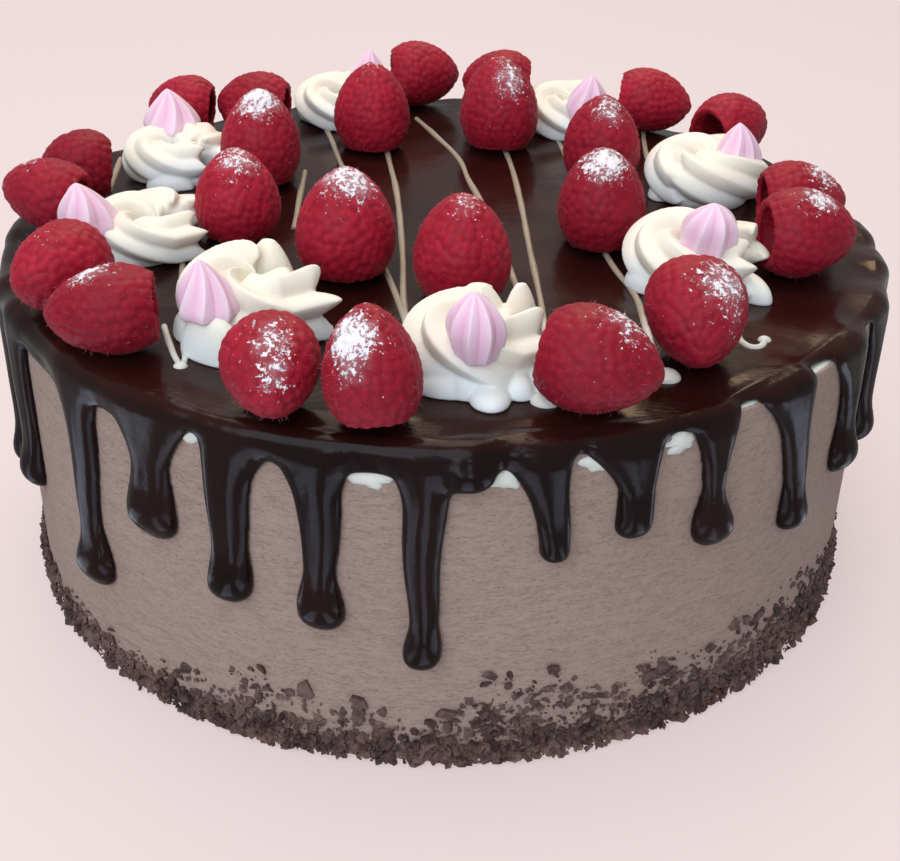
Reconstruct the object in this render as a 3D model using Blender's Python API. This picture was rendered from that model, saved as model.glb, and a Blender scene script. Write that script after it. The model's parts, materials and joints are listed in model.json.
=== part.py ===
"""A chocolate berry cake: a round frosted cake with chocolate flakes round its foot, a thin cream
layer, a ganache lid that drips down the side, and piped cream, pink stars and berries on top.

The cake stands on the XY plane with its axis along Z, and its front faces -Y. Lengths are in
metres. Angles are in degrees, anticlockwise from +X as seen from above.
"""

from math import cos, pi, radians, sin, sqrt

import bmesh
import bpy
import numpy as np
from mathutils import Matrix, Vector

# Driving dimensions of the cake and its layers.
CAKE_RADIUS = 0.1157
OUT_OF_ROUND = 0.0010
CAKE_HEIGHT = 0.0819
SHOULDER = 0.0016
FOOT_BEVEL = 0.0030
CREAM_THICKNESS = 0.0026
CREAM_SET_BACK = 0.0006
TOP = 0.0877
# The gap between pieces that touch, and how many times it a rosette stands clear of its toppings.
GAP = 0.0003
ROOM = 1.4
# Flat facets round the cake.
COLUMNS = 60

# The ganache: how far its rim stands off the side, and its drips.
RIM_STAND_OFF = 0.0029
RIM_EDGE = 0.0826
DRIP_TOP = RIM_EDGE + 0.0010
DRIP_DEPTH = 0.0034
DRIP_FLARE = 0.0042
FLARE_LENGTH = 0.0095
BOW_POINTS = 5
# Air between the side and the back of the rim and drips, and how far a drip's top reaches into the rim.
BACK_GAP = 0.0004
DRIP_ROOT = 0.0009
# Angle, height of the tip, stem width and bulb width of each drip at the front.
FRONT_DRIPS = (
    (-159.5, 0.0343, 0.0076, 0.0092),
    (-151.8, 0.0371, 0.0086, 0.0099),
    (-134.7, 0.0267, 0.0080, 0.0103),
    (-123.2, 0.0517, 0.0100, 0.0111),
    (-113.3, 0.0412, 0.0088, 0.0096),
    (-103.0, 0.0387, 0.0084, 0.0100),
    (-92.2, 0.0303, 0.0092, 0.0086),
    (-86.4, 0.0763, 0.0066, 0.0072),
    (-78.3, 0.0590, 0.0084, 0.0086),
    (-68.8, 0.0612, 0.0084, 0.0088),
    (-59.5, 0.0529, 0.0074, 0.0098),
    (-45.8, 0.0457, 0.0072, 0.0076),
    (-33.4, 0.0502, 0.0086, 0.0098),
    (-20.4, 0.0453, 0.0072, 0.0078),
    (-9.2, 0.0668, 0.0074, 0.0080),
)
# The drips at the back: how many, where the first is, their spacing, and the ranges they vary in.
BACK_DRIPS = 14
BACK_START = 3.5
BACK_STEP = 13.7
BACK_SHIFT = 2.0
BACK_TIPS = (0.030, 0.062)
BACK_STEMS = (0.0070, 0.0092)
BACK_BULB_EXTRA = (0.0003, 0.0018)
DRIP_SEED = 3

# White drizzle on the ganache: points of each line, in metres from the axis.
DRIZZLE_WIDTH = 0.0024
DRIZZLE_HEIGHT = 0.0011
DRIZZLE_SINK = 0.0007
DRIZZLE_LINES = (
    ((-0.0640, -0.0700), (-0.0582, -0.0858)),
    ((-0.0592, -0.0832), (-0.0588, -0.0785)),
    ((-0.0655, -0.0390), (-0.0640, -0.0470)),
    ((-0.0985, 0.0300), (-0.0980, 0.0235)),
    ((-0.0424, 0.0170), (-0.0415, -0.0020)),
    ((-0.0375, 0.0700), (-0.0340, 0.0520), (-0.0225, 0.0000), (-0.0190, -0.0165)),
    ((-0.0130, -0.0450), (-0.0092, -0.0620), (-0.0086, -0.0690)),
    ((-0.0178, 0.0500), (-0.0155, 0.0340), (-0.0122, -0.0160), (-0.0103, -0.0560)),
    ((-0.0080, 0.0860), (-0.0046, 0.0763), (0.0032, 0.0537), (0.0072, 0.0300), (0.0168, -0.0350)),
    ((0.0188, 0.0500), (0.0206, 0.0236), (0.0219, -0.0170), (0.0232, -0.0560), (0.0222, -0.0745)),
    ((0.0440, -0.0265), (0.0464, -0.0452), (0.0471, -0.0608), (0.0477, -0.0660)),
    ((0.0625, 0.0650), (0.0612, 0.0490)),
    ((0.0694, -0.0655), (0.0685, -0.0698), (0.0702, -0.0712), (0.0726, -0.0670)),
)
# Rounded blobs where a line turns under a berry: centre and width.
DRIZZLE_BLOBS = (
    (0.0215, -0.0985, 0.0040),
    (0.0486, -0.0868, 0.0042),
)

# Cream that sags from under the ganache, and how far it stands off the side.
TAB_STAND_OFF = 0.0016
# Angle, width and lowest height of each tab.
CREAM_TABS = (
    (-116.8, 0.0075, 0.0788),
    (-97.6, 0.0110, 0.0760),
    (-83.2, 0.0075, 0.0756),
    (-73.4, 0.0070, 0.0772),
    (-64.0, 0.0075, 0.0782),
)

# Chocolate flakes pressed into the foot of the side.
FLAKES = 132
FLAKE_LENGTHS = (0.0055, 0.0085)
FLAKE_BAND = 0.016
# Where the flakes pile up highest, and by how much.
FLAKE_PILE_ANGLE = -78
FLAKE_PILE = 0.0045
FLAKE_SEED = 7
FLAKE_LIFT = 0.0001

# Cream rosettes: centre, width and height, and the direction of the piped tail.
ROSETTES = (
    (-0.0452, -0.0655, 0.0370, 0.0172, 30),
    (0.0068, -0.0900, 0.0340, 0.0172, -75),
    (-0.0775, -0.0200, 0.0340, 0.0132, 0),
    (-0.0815, 0.0370, 0.0330, 0.0132, 20),
    (-0.0350, 0.0925, 0.0360, 0.0132, 0),
    (0.0405, 0.0840, 0.0330, 0.0140, 120),
    (0.0740, 0.0290, 0.0360, 0.0152, -50),
    (0.0620, -0.0330, 0.0370, 0.0152, -10),
)
ROSETTE_RIDGES = 6
# Height share, radius share, ridge depth and twist of the rings of a rosette.
ROSETTE_LEVELS = (
    (0.00, 0.78, 0.08, 0),
    (0.30, 1.00, 0.14, 8),
    (0.74, 0.93, 0.16, 30),
    (1.00, 0.60, 0.18, 52),
    (0.66, 0.16, 0.00, 70),
)
TAIL_REACH = 0.07

# Pink stars: centre, seat above the ganache, width and height. One stands on each rosette.
STARS = (
    (-0.0503, -0.0812, 0.0095, 0.0136, 0.0135),
    (0.0066, -0.0955, 0.0085, 0.0132, 0.0150),
    (-0.0902, -0.0275, 0.0075, 0.0150, 0.0130),
    (-0.0835, 0.0490, 0.0080, 0.0156, 0.0130),
    (-0.0275, 0.0985, 0.0080, 0.0142, 0.0130),
    (0.0428, 0.0745, 0.0080, 0.0148, 0.0130),
    (0.0825, 0.0236, 0.0085, 0.0140, 0.0140),
    (0.0638, -0.0399, 0.0085, 0.0144, 0.0140),
)
STAR_RIBS = 8
STAR_LEVELS = (
    (0.00, 0.84, 0.08, 0),
    (0.28, 1.00, 0.10, 0),
    (0.66, 0.70, 0.13, 4),
    (1.00, 0.10, 0.00, 8),
)

# Berries: centre of the axis, width, length, heading and rise of the tip, and whether the
# hollow under the berry shows.
BERRIES = (
    (-0.1070, -0.0095, 0.0200, 0.0220, 168, 8, True),
    (-0.1035, 0.0130, 0.0200, 0.0190, 198, 8, False),
    (-0.0905, -0.0600, 0.0215, 0.0235, -120, 2, False),
    (-0.0760, -0.0775, 0.0205, 0.0245, 172, 0, True),
    (-0.0553, -0.0119, 0.0226, 0.0235, 90, 84, False),
    (-0.0545, 0.0301, 0.0238, 0.0262, 90, 84, False),
    (-0.0842, 0.0677, 0.0205, 0.0200, 180, 5, False),
    (-0.0620, 0.0695, 0.0215, 0.0225, 175, 5, True),
    (-0.0254, -0.0334, 0.0250, 0.0268, 90, 86, False),
    (-0.0355, -0.1050, 0.0205, 0.0230, -82, -14, False),
    (-0.0145, -0.1085, 0.0212, 0.0240, 110, 72, False),
    (-0.0241, 0.0635, 0.0230, 0.0260, 90, 86, False),
    (-0.0086, 0.1085, 0.0222, 0.0230, 6, 0, False),
    (0.0039, -0.0469, 0.0244, 0.0257, 90, 86, False),
    (0.0155, 0.0668, 0.0246, 0.0275, 90, 86, False),
    (0.0150, 0.0950, 0.0215, 0.0220, 180, 5, False),
    (0.0448, 0.0356, 0.0233, 0.0248, 90, 84, False),
    (0.0406, -0.0115, 0.0239, 0.0254, 90, 86, False),
    (0.0665, 0.0840, 0.0200, 0.0235, -10, -4, False),
    (0.0870, 0.0560, 0.0215, 0.0235, 38, 4, True),
    (0.0553, -0.0785, 0.0228, 0.0245, -92, -24, False),
    (0.0325, -0.1010, 0.0225, 0.0255, -22, -4, False),
    (0.0955, -0.0050, 0.0210, 0.0225, 15, 3, False),
    (0.0915, -0.0290, 0.0222, 0.0240, 5, 0, True),
)
BERRY_COLUMNS = 10
WIDEST = 0.34
BASE_NARROWING = 0.28
BERRY_SHARES = (0.0, 0.18, 0.42, 0.66, 0.87, 1.0)
LUMPINESS = 0.035
# The hollow under a berry: share of the length and radius per width, from its end to its mouth.
HOLLOW = ((0.50, 0.14), (0.16, 0.27), (0.02, 0.30))
BERRY_SEED = 100
BERRIES_REACH = 0.015


def new_material(name, colour, roughness):
    material = bpy.data.materials.new(name)
    material.use_nodes = True
    shader = material.node_tree.nodes["Principled BSDF"]
    shader.inputs["Base Color"].default_value = (*colour, 1.0)
    shader.inputs["Roughness"].default_value = roughness
    shader.inputs["Metallic"].default_value = 0.0
    return material


def new_object(name, shape, material, smooth=True):
    """Turns a bmesh into an object, with faces that point outwards."""
    bmesh.ops.recalc_face_normals(shape, faces=shape.faces)
    mesh = bpy.data.meshes.new(name)
    shape.to_mesh(mesh)
    shape.free()
    if smooth:
        mesh.shade_smooth()
    mesh.materials.append(material)
    solid = bpy.data.objects.new(name, mesh)
    bpy.context.scene.collection.objects.link(solid)
    return solid


def loft(rings):
    """A closed skin through rings of equally many points, with a flat face at each end."""
    shape = bmesh.new()
    loops = [[shape.verts.new(point) for point in ring] for ring in rings]
    for lower, upper in zip(loops, loops[1:]):
        for first, near in enumerate(lower):
            second = (first + 1) % len(lower)
            shape.faces.new((near, lower[second], upper[first]))
            shape.faces.new((lower[second], upper[second], upper[first]))
    shape.faces.new(loops[0])
    shape.faces.new(loops[-1])
    return shape


def polar(angle, radius, height):
    return Vector((radius * cos(radians(angle)), radius * sin(radians(angle)), height))


def as_cutter(solid):
    solid.hide_render = True
    solid.display_type = "WIRE"
    return solid


def cut_away(solid, cutter):
    cut = solid.modifiers.new("Clear of " + cutter.name, "BOOLEAN")
    cut.operation = "DIFFERENCE"
    cut.object = cutter


def fuse(solid, pieces):
    """Joins the pieces to the solid with one union on their collection, and removes them."""
    heap = bpy.data.collections.new(solid.name + " pieces")
    bpy.context.scene.collection.children.link(heap)
    for piece in pieces:
        bpy.context.scene.collection.objects.unlink(piece)
        heap.objects.link(piece)
    union = solid.modifiers.new("Fused", "BOOLEAN")
    union.operation = "UNION"
    union.operand_type = "COLLECTION"
    union.collection = heap
    apply_modifiers(solid)
    for piece in pieces:
        bpy.data.objects.remove(piece, do_unlink=True)
    bpy.data.collections.remove(heap)


def apply_modifiers(solid):
    bpy.context.view_layer.update()
    evaluated = solid.evaluated_get(bpy.context.evaluated_depsgraph_get())
    solid.data = bpy.data.meshes.new_from_object(evaluated)
    solid.modifiers.clear()


def cake_radius(angle):
    """The frosted side is a little out of round, and widest at the left."""
    wave = cos(radians(angle - 185)) + 0.35 * cos(radians(3 * angle + 40))
    return CAKE_RADIUS + OUT_OF_ROUND * wave


def turned(profile):
    """Rings round the axis from (stand-off from the side, height) pairs, which may be functions."""
    angles = [360 * column / COLUMNS for column in range(COLUMNS)]
    rings = []
    for stand_off, height in profile:
        ring = []
        for angle in angles:
            level = height(angle) if callable(height) else height
            ring.append(polar(angle, cake_radius(angle) + stand_off, level))
        rings.append(ring)
    return rings


def side_block():
    """The frosted cake under its cream layer, with a rounded shoulder."""
    profile = (
        (-0.15 * FOOT_BEVEL, 0.0),
        (0.0, FOOT_BEVEL),
        (0.0, CAKE_HEIGHT - SHOULDER),
        (-SHOULDER, CAKE_HEIGHT),
    )
    return loft(turned(profile))


def flake_band(angle):
    """How high the flakes reach: a band all round that piles up towards the front."""
    from_pile = radians(angle - FLAKE_PILE_ANGLE)
    return FLAKE_BAND + FLAKE_PILE * (cos(from_pile) + 0.55 * cos(2 * from_pile))


def flake(rng, centre, length, outwards):
    """One broken chip of chocolate: a lump of eight uneven faces, its middle near the side."""
    breadth_share = rng.uniform(0.5, 0.8)
    thickness_share = rng.uniform(0.36, 0.5)
    half_sizes = length / 2 * np.array((1.0, breadth_share, thickness_share))
    spin = Matrix.Rotation(rng.uniform(0, 2 * pi), 3, "Z")
    tilt = Matrix.Rotation(radians(rng.uniform(-35, 35)), 3, "X")
    facing = outwards.to_track_quat("Z", "Y").to_matrix()
    shape = bmesh.new()
    corners = []
    for axis in range(3):
        for side in (-1, 1):
            corner = Vector((0, 0, 0))
            corner[axis] = side * half_sizes[axis] * rng.uniform(0.8, 1.25)
            beside = (axis + 1) % 3
            corner[beside] = half_sizes[beside] * rng.uniform(-0.3, 0.3)
            place = centre + facing @ (tilt @ (spin @ corner))
            place.z = max(place.z, FLAKE_LIFT * (1 + len(corners)))
            corners.append(shape.verts.new(place))
    for x in (0, 1):
        for y in (2, 3):
            for z in (4, 5):
                shape.faces.new((corners[x], corners[y], corners[z]))
    return shape


def clear_of_drips(angle, height):
    """Whether a flake here misses every drip."""
    reach_below_tip = 0.006
    for drip_angle, tip, _, bulb in drips():
        half_turn = abs((angle - drip_angle + 180) % 360 - 180)
        if radians(half_turn) * CAKE_RADIUS < bulb and height > tip - reach_below_tip:
            return False
    return True


def make_cake_body():
    frosting = new_material("chocolate_frosting", (0.27, 0.18, 0.145), 0.75)
    body = new_object("cake_body", side_block(), frosting, smooth=False)
    rng = np.random.default_rng(FLAKE_SEED)
    golden_turn = 137.508
    deepest, shallowest = -0.0007, 0.0002
    chips = []
    for index in range(FLAKES):
        angle = index * golden_turn + rng.uniform(-2, 2)
        share = (index / FLAKES) ** 1.6
        height = 0.0012 + share * flake_band(angle)
        length = rng.uniform(*FLAKE_LENGTHS) * (1.0 - 0.25 * share)
        if not clear_of_drips(angle, height):
            continue
        centre = polar(angle, cake_radius(angle) + rng.uniform(deepest, shallowest), height)
        outwards = polar(angle, 1.0, 0.0)
        shape = flake(rng, centre, length, outwards)
        chips.append(new_object(f"flake_{index}", shape, frosting, smooth=False))
    fuse(body, chips)


def cream_disc():
    low = CAKE_HEIGHT + GAP
    return loft(turned(((-CREAM_SET_BACK, low), (-CREAM_SET_BACK, low + CREAM_THICKNESS))))


def cream_tab(angle, width, lowest, grow=0.0):
    """A rounded tongue of cream that comes out from the layer and hangs over the shoulder."""
    inner = cake_radius(angle) + 2 * GAP
    outer = cake_radius(angle) + TAB_STAND_OFF + grow
    root = cake_radius(angle) - 4 * CREAM_SET_BACK
    highest = CAKE_HEIGHT + 0.85 * CREAM_THICKNESS + grow
    rings = []
    for drop, share in ((0.0, 1.0), (0.45, 1.0), (0.85, 0.62), (1.0, 0.25)):
        level = highest - drop * (highest - lowest + grow)
        back = root if level > CAKE_HEIGHT + 0.4 * CREAM_THICKNESS else inner - grow
        half = degrees_on_side(share * width / 2 + grow)
        rings.append(
            (
                polar(angle - half, back, level),
                polar(angle - half, outer - 0.0004, level),
                polar(angle, outer, level),
                polar(angle + half, outer - 0.0004, level),
                polar(angle + half, back, level),
            )
        )
    return loft(rings)


def degrees_on_side(length):
    return length / CAKE_RADIUS * 180 / pi


def make_cream_layer():
    cream = new_material("cream", (0.86, 0.82, 0.70), 0.5)
    layer = new_object("cream_layer", cream_disc(), cream)
    tabs = []
    for number, values in enumerate(CREAM_TABS):
        tabs.append(new_object(f"cream_tab_{number}", cream_tab(*values), cream))
    fuse(layer, tabs)


def drips():
    """All the drips: those at the front, and those at the back by a rule with seeded draws."""
    rng = np.random.default_rng(DRIP_SEED)
    found = list(FRONT_DRIPS)
    for index in range(BACK_DRIPS):
        angle = BACK_START + index * BACK_STEP + rng.uniform(-BACK_SHIFT, BACK_SHIFT)
        tip = rng.uniform(*BACK_TIPS)
        stem = rng.uniform(*BACK_STEMS)
        found.append((angle, tip, stem, stem + rng.uniform(*BACK_BULB_EXTRA)))
    return found


def drip_width(height, tip, stem, bulb):
    """Full width of a drip at a height: round bulb, stem, and a flare into the rim."""
    above_tip = height - tip
    bulb_radius = bulb / 2
    if above_tip < bulb_radius:
        return 2 * sqrt(max(bulb_radius**2 - (bulb_radius - above_tip) ** 2, 0.0))
    neck_length = 2.2 * bulb_radius
    neck = min(1.0, (above_tip - bulb_radius) / neck_length)
    width = bulb + (stem - bulb) * neck * neck * (3 - 2 * neck)
    flare = max(0.0, 1 - (DRIP_TOP - height) / FLARE_LENGTH)
    return width + 2 * DRIP_FLARE * min(flare, 1.0) ** 2


def drip(angle, tip, stem, bulb):
    """One drip: bows that stand off the side, from the tip up to a flare inside the rim."""
    bulb_radius = bulb / 2
    flare_start = DRIP_TOP - 0.95 * FLARE_LENGTH
    flare_middle = DRIP_TOP - 0.4 * FLARE_LENGTH
    levels = []
    for share in (0.12, 0.5, 1.1, 2.9):
        level = tip + share * bulb_radius
        if level < flare_middle - 0.0012:
            levels.append(level)
    if levels[-1] < flare_start - 0.0050:
        levels.append(flare_start)
    levels += [flare_middle, DRIP_TOP]
    rings = []
    for level in levels:
        half = drip_width(level, tip, stem, bulb) / 2
        depth = DRIP_DEPTH * min(1.0, half / (0.62 * bulb_radius))
        back = cake_radius(angle) + (DRIP_ROOT if level == DRIP_TOP else BACK_GAP)
        ring = []
        for step in range(BOW_POINTS):
            sweep = pi * (step / (BOW_POINTS - 1) - 0.5)
            bow_angle = angle + degrees_on_side(half * sin(sweep))
            ring.append(polar(bow_angle, back + (depth - BACK_GAP) * cos(sweep), level))
        rings.append(ring)
    return loft(rings)


def rim_edge(angle):
    """Lowest height of the ganache rim between the drips, which waves a little."""
    return RIM_EDGE + 0.0006 * sin(radians(5 * angle)) + 0.0005 * cos(radians(11 * angle + 30))


def lid():
    """The ganache lid as a shell: its ceiling over the cream, down the side, and its top."""
    ceiling = CAKE_HEIGHT + GAP + CREAM_THICKNESS + GAP
    profile = (
        (BACK_GAP, ceiling),
        (BACK_GAP, rim_edge),
        (0.72 * RIM_STAND_OFF, lambda angle: rim_edge(angle) - 0.0003),
        (RIM_STAND_OFF, lambda angle: rim_edge(angle) + 0.0016),
        (0.70 * RIM_STAND_OFF, TOP - 0.0008),
        (-0.0022, TOP),
    )
    return loft(turned(profile))


def ribbon(points, width, height):
    """A drizzled line along points on the ganache: a low ridge whose underside is sunk in it."""
    path = [Vector((x, y, TOP)) for x, y in points]
    edge = 0.3 * height
    section = (
        (-0.9, -DRIZZLE_SINK),
        (-0.9, edge),
        (0.0, height),
        (0.9, edge),
        (0.9, -DRIZZLE_SINK),
    )
    rings = []
    for index, point in enumerate(path):
        before = path[max(index - 1, 0)]
        after = path[min(index + 1, len(path) - 1)]
        along = (after - before).normalized()
        across = Vector((-along.y, along.x, 0))
        ring = []
        for side, lift in section:
            ring.append(point + across * (side * width / 2) + Vector((0, 0, lift)))
        rings.append(ring)
    return loft(rings)


def blob(x, y, width):
    """A rounded drop of drizzle."""
    sides = 6
    profile = (
        (0.9, -DRIZZLE_SINK),
        (1.0, 0.5 * DRIZZLE_HEIGHT),
        (0.6, 1.4 * DRIZZLE_HEIGHT),
    )
    rings = []
    for share, lift in profile:
        ring = []
        for side in range(sides):
            outwards = polar(360 * side / sides, share * width / 2, 0)
            ring.append(Vector((x, y, TOP + lift)) + outwards)
        rings.append(ring)
    return loft(rings)


def make_ganache():
    glaze = new_material("ganache", (0.026, 0.012, 0.010), 0.18)
    ganache = new_object("ganache", lid(), glaze)
    pieces = []
    for number, values in enumerate(drips()):
        pieces.append(new_object(f"drip_{number}", drip(*values), glaze))
    for number, points in enumerate(DRIZZLE_LINES):
        line = ribbon(points, DRIZZLE_WIDTH, DRIZZLE_HEIGHT)
        pieces.append(new_object(f"line_{number}", line, glaze))
    for number, values in enumerate(DRIZZLE_BLOBS):
        pieces.append(new_object(f"blob_{number}", blob(*values), glaze))
    fuse(ganache, pieces)
    for number, values in enumerate(CREAM_TABS):
        room = cream_tab(*values, grow=GAP)
        cut_away(ganache, as_cutter(new_object(f"cream_tab_{number}_room", room, glaze)))


def ribbed_dome(width, height, ribs, levels, tail_heading=0.0, tail_reach=0.0):
    """Piped cream: rings of ridges and valleys that turn as they rise."""
    mean_radius = width / 2 / 1.12
    rings = []
    for rise, reach, depth, twist in levels:
        ring = []
        for point in range(2 * ribs):
            angle = 180 * point / ribs + twist
            swell = 1 + (depth if point % 2 == 0 else -depth)
            lean = 1 + tail_reach * cos(radians(angle - tail_heading))
            ring.append(polar(angle, mean_radius * reach * swell * lean, rise * height))
        rings.append(ring)
    return loft(rings)


def berry(width, length, hollow, rng):
    """A berry along +Z, tip up: rings of bumps set half a step apart, and its hollow if shown."""
    rings = []
    if hollow:
        for share, reach in HOLLOW:
            rings.append(bumps(width * reach, (share - 0.5) * length, 0.5, rng, 0.0))
    for number, share in enumerate(BERRY_SHARES):
        if share < WIDEST:
            narrowing = ((WIDEST - share) / WIDEST) ** 2.2
            radius = width / 2 * (1 - BASE_NARROWING * narrowing)
        else:
            taper = min((share - WIDEST) / (1.04 - WIDEST), 1.0)
            radius = width / 2 * (1 - taper**2.1) ** 0.62
        rings.append(bumps(radius, (share - 0.5) * length, 0.5 * (number % 2), rng, LUMPINESS))
    return loft(rings)


def bumps(radius, height, offset, rng, lumpiness):
    ring = []
    for column in range(BERRY_COLUMNS):
        angle = 360 * (column + offset) / BERRY_COLUMNS
        ring.append(polar(angle, radius * (1 + rng.uniform(-lumpiness, lumpiness)), height))
    return ring


def rest_on_top(solid, x, y, heading, rise):
    """Tips a piece that points along +Z to its heading and rise, and sets it on the ganache."""
    solid.rotation_euler = (0.0, radians(90 - rise), radians(heading))
    tipped = solid.rotation_euler.to_matrix()
    lowest = min((tipped @ vertex.co).z for vertex in solid.data.vertices)
    solid.location = (x, y, TOP + GAP - lowest)


def room_for(solid):
    """A hidden cutter: the hull of a piece, larger by the gap all round."""
    shape = bmesh.new()
    for vertex in solid.data.vertices:
        shape.verts.new(vertex.co)
    hull = bmesh.ops.convex_hull(shape, input=shape.verts)
    bmesh.ops.delete(shape, geom=hull["geom_interior"], context="VERTS")
    middle = sum((vertex.co for vertex in shape.verts), Vector()) / len(shape.verts)
    for vertex in shape.verts:
        away = vertex.co - middle
        vertex.co = middle + away * (1 + ROOM * GAP / away.length)
    room = new_object(solid.name + "_room", shape, solid.data.materials[0])
    room.location = solid.location
    room.rotation_euler = solid.rotation_euler
    return as_cutter(room)


def make_berries():
    red = new_material("berry_red", (0.38, 0.010, 0.030), 0.55)
    made = []
    for number, (x, y, width, length, heading, rise, hollow) in enumerate(BERRIES, start=1):
        rng = np.random.default_rng(BERRY_SEED + number)
        solid = new_object(f"berry_{number:02d}", berry(width, length, hollow, rng), red)
        rest_on_top(solid, x, y, heading, rise)
        made.append(solid)
    return made


def make_stars():
    pink = new_material("pink_cream", (0.76, 0.42, 0.62), 0.5)
    made = []
    for number, (x, y, seat, width, height) in enumerate(STARS, start=1):
        shape = ribbed_dome(width, height, STAR_RIBS, STAR_LEVELS)
        solid = new_object(f"star_{number}", shape, pink)
        solid.location = (x, y, TOP + seat)
        made.append(solid)
    return made


def make_rosettes(neighbours):
    """The rosettes, each with room cut for the star on it and for the berries that lean on it."""
    cream = new_material("ivory_cream", (0.87, 0.82, 0.68), 0.45)
    for number, (x, y, width, height, tail_heading) in enumerate(ROSETTES, start=1):
        shape = ribbed_dome(width, height, ROSETTE_RIDGES, ROSETTE_LEVELS, tail_heading, TAIL_REACH)
        rosette = new_object(f"rosette_{number}", shape, cream)
        rosette.location = (x, y, TOP + GAP)
        reach = width / 2 + BERRIES_REACH
        for neighbour in neighbours:
            apart = (neighbour.location.xy - rosette.location.xy).length
            if apart < reach:
                cut_away(rosette, room_for(neighbour))


for old in list(bpy.data.objects):
    bpy.data.objects.remove(old, do_unlink=True)

make_cake_body()
make_cream_layer()
make_ganache()
make_rosettes(make_stars() + make_berries())
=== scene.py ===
"""A chocolate berry cake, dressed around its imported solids, from the sponge's frosting outwards."""

import json
from math import cos, pi, radians, sin

import bmesh
import bpy
import numpy as np
from mathutils import Euler, Matrix, Vector

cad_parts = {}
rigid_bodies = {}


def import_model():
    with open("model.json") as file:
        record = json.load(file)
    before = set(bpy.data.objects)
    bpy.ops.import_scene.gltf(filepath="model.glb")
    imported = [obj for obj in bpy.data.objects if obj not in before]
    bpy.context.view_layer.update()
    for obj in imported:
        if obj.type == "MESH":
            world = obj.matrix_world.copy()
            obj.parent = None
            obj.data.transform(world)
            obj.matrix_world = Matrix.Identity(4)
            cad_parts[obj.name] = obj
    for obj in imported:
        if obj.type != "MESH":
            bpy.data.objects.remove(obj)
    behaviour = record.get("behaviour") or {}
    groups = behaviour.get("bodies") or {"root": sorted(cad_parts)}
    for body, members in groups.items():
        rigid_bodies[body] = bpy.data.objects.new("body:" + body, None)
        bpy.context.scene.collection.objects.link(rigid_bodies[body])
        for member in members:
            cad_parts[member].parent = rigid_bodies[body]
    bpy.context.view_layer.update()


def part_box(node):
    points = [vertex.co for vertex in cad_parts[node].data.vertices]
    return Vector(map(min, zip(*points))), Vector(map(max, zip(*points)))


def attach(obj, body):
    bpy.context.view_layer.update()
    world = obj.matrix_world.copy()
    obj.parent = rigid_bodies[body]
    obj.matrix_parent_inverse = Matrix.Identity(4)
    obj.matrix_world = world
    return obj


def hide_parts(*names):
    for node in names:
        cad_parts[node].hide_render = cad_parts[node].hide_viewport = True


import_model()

# ---------------------------------------------------------------------------------------------
# The camera stands in front of the cake and looks down on it at about 30 degrees, close enough
# for the front drips to look longer than those at the sides.
CAMERA_PLACE = (0.0, -0.34973, 0.22817)
CAMERA_DOWN = radians(30.525)
CAMERA_ASIDE = radians(0.305)
CAMERA_ROLL = radians(1.190)
LENS = 54.242

level_reach = cos(CAMERA_DOWN)
forward = Vector((sin(CAMERA_ASIDE) * level_reach, cos(CAMERA_ASIDE) * level_reach, -sin(CAMERA_DOWN)))
level_right = Vector((cos(CAMERA_ASIDE), -sin(CAMERA_ASIDE), 0))
level_up = level_right.cross(forward)
rolled_right = level_right * cos(CAMERA_ROLL) + level_up * sin(CAMERA_ROLL)
rolled_up = level_up * cos(CAMERA_ROLL) - level_right * sin(CAMERA_ROLL)
camera = bpy.data.objects.new("camera", bpy.data.cameras.new("camera"))
camera.data.lens = LENS
camera.data.clip_start = 0.01
camera.matrix_world = Matrix((rolled_right, rolled_up, -forward)).transposed().to_4x4()
camera.location = CAMERA_PLACE
bpy.context.scene.collection.objects.link(camera)
bpy.context.scene.camera = camera

# ---------------------------------------------------------------------------------------------
# The frosted side: chocolate buttercream, spread with a turning palette knife. The knife leaves
# level streaks, torn pores and a few low waves, and the cream covers the cake's edge up to the
# ganache.
CAKE_RADIUS = 0.1157
OUT_OF_ROUND = 0.0010
FROSTING_TOP = 0.0846
CAKE_TOP = 0.0819
FROSTING_SKIN = 0.0005
FROSTING_FOOT = 0.0018
FROSTING_EDGE = 0.0004
CAKE_TOP_REACH = 0.02
FROSTING_COLUMNS = 480
FROSTING_ROWS = 96
KNIFE_WAVE = 0.00022


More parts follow.
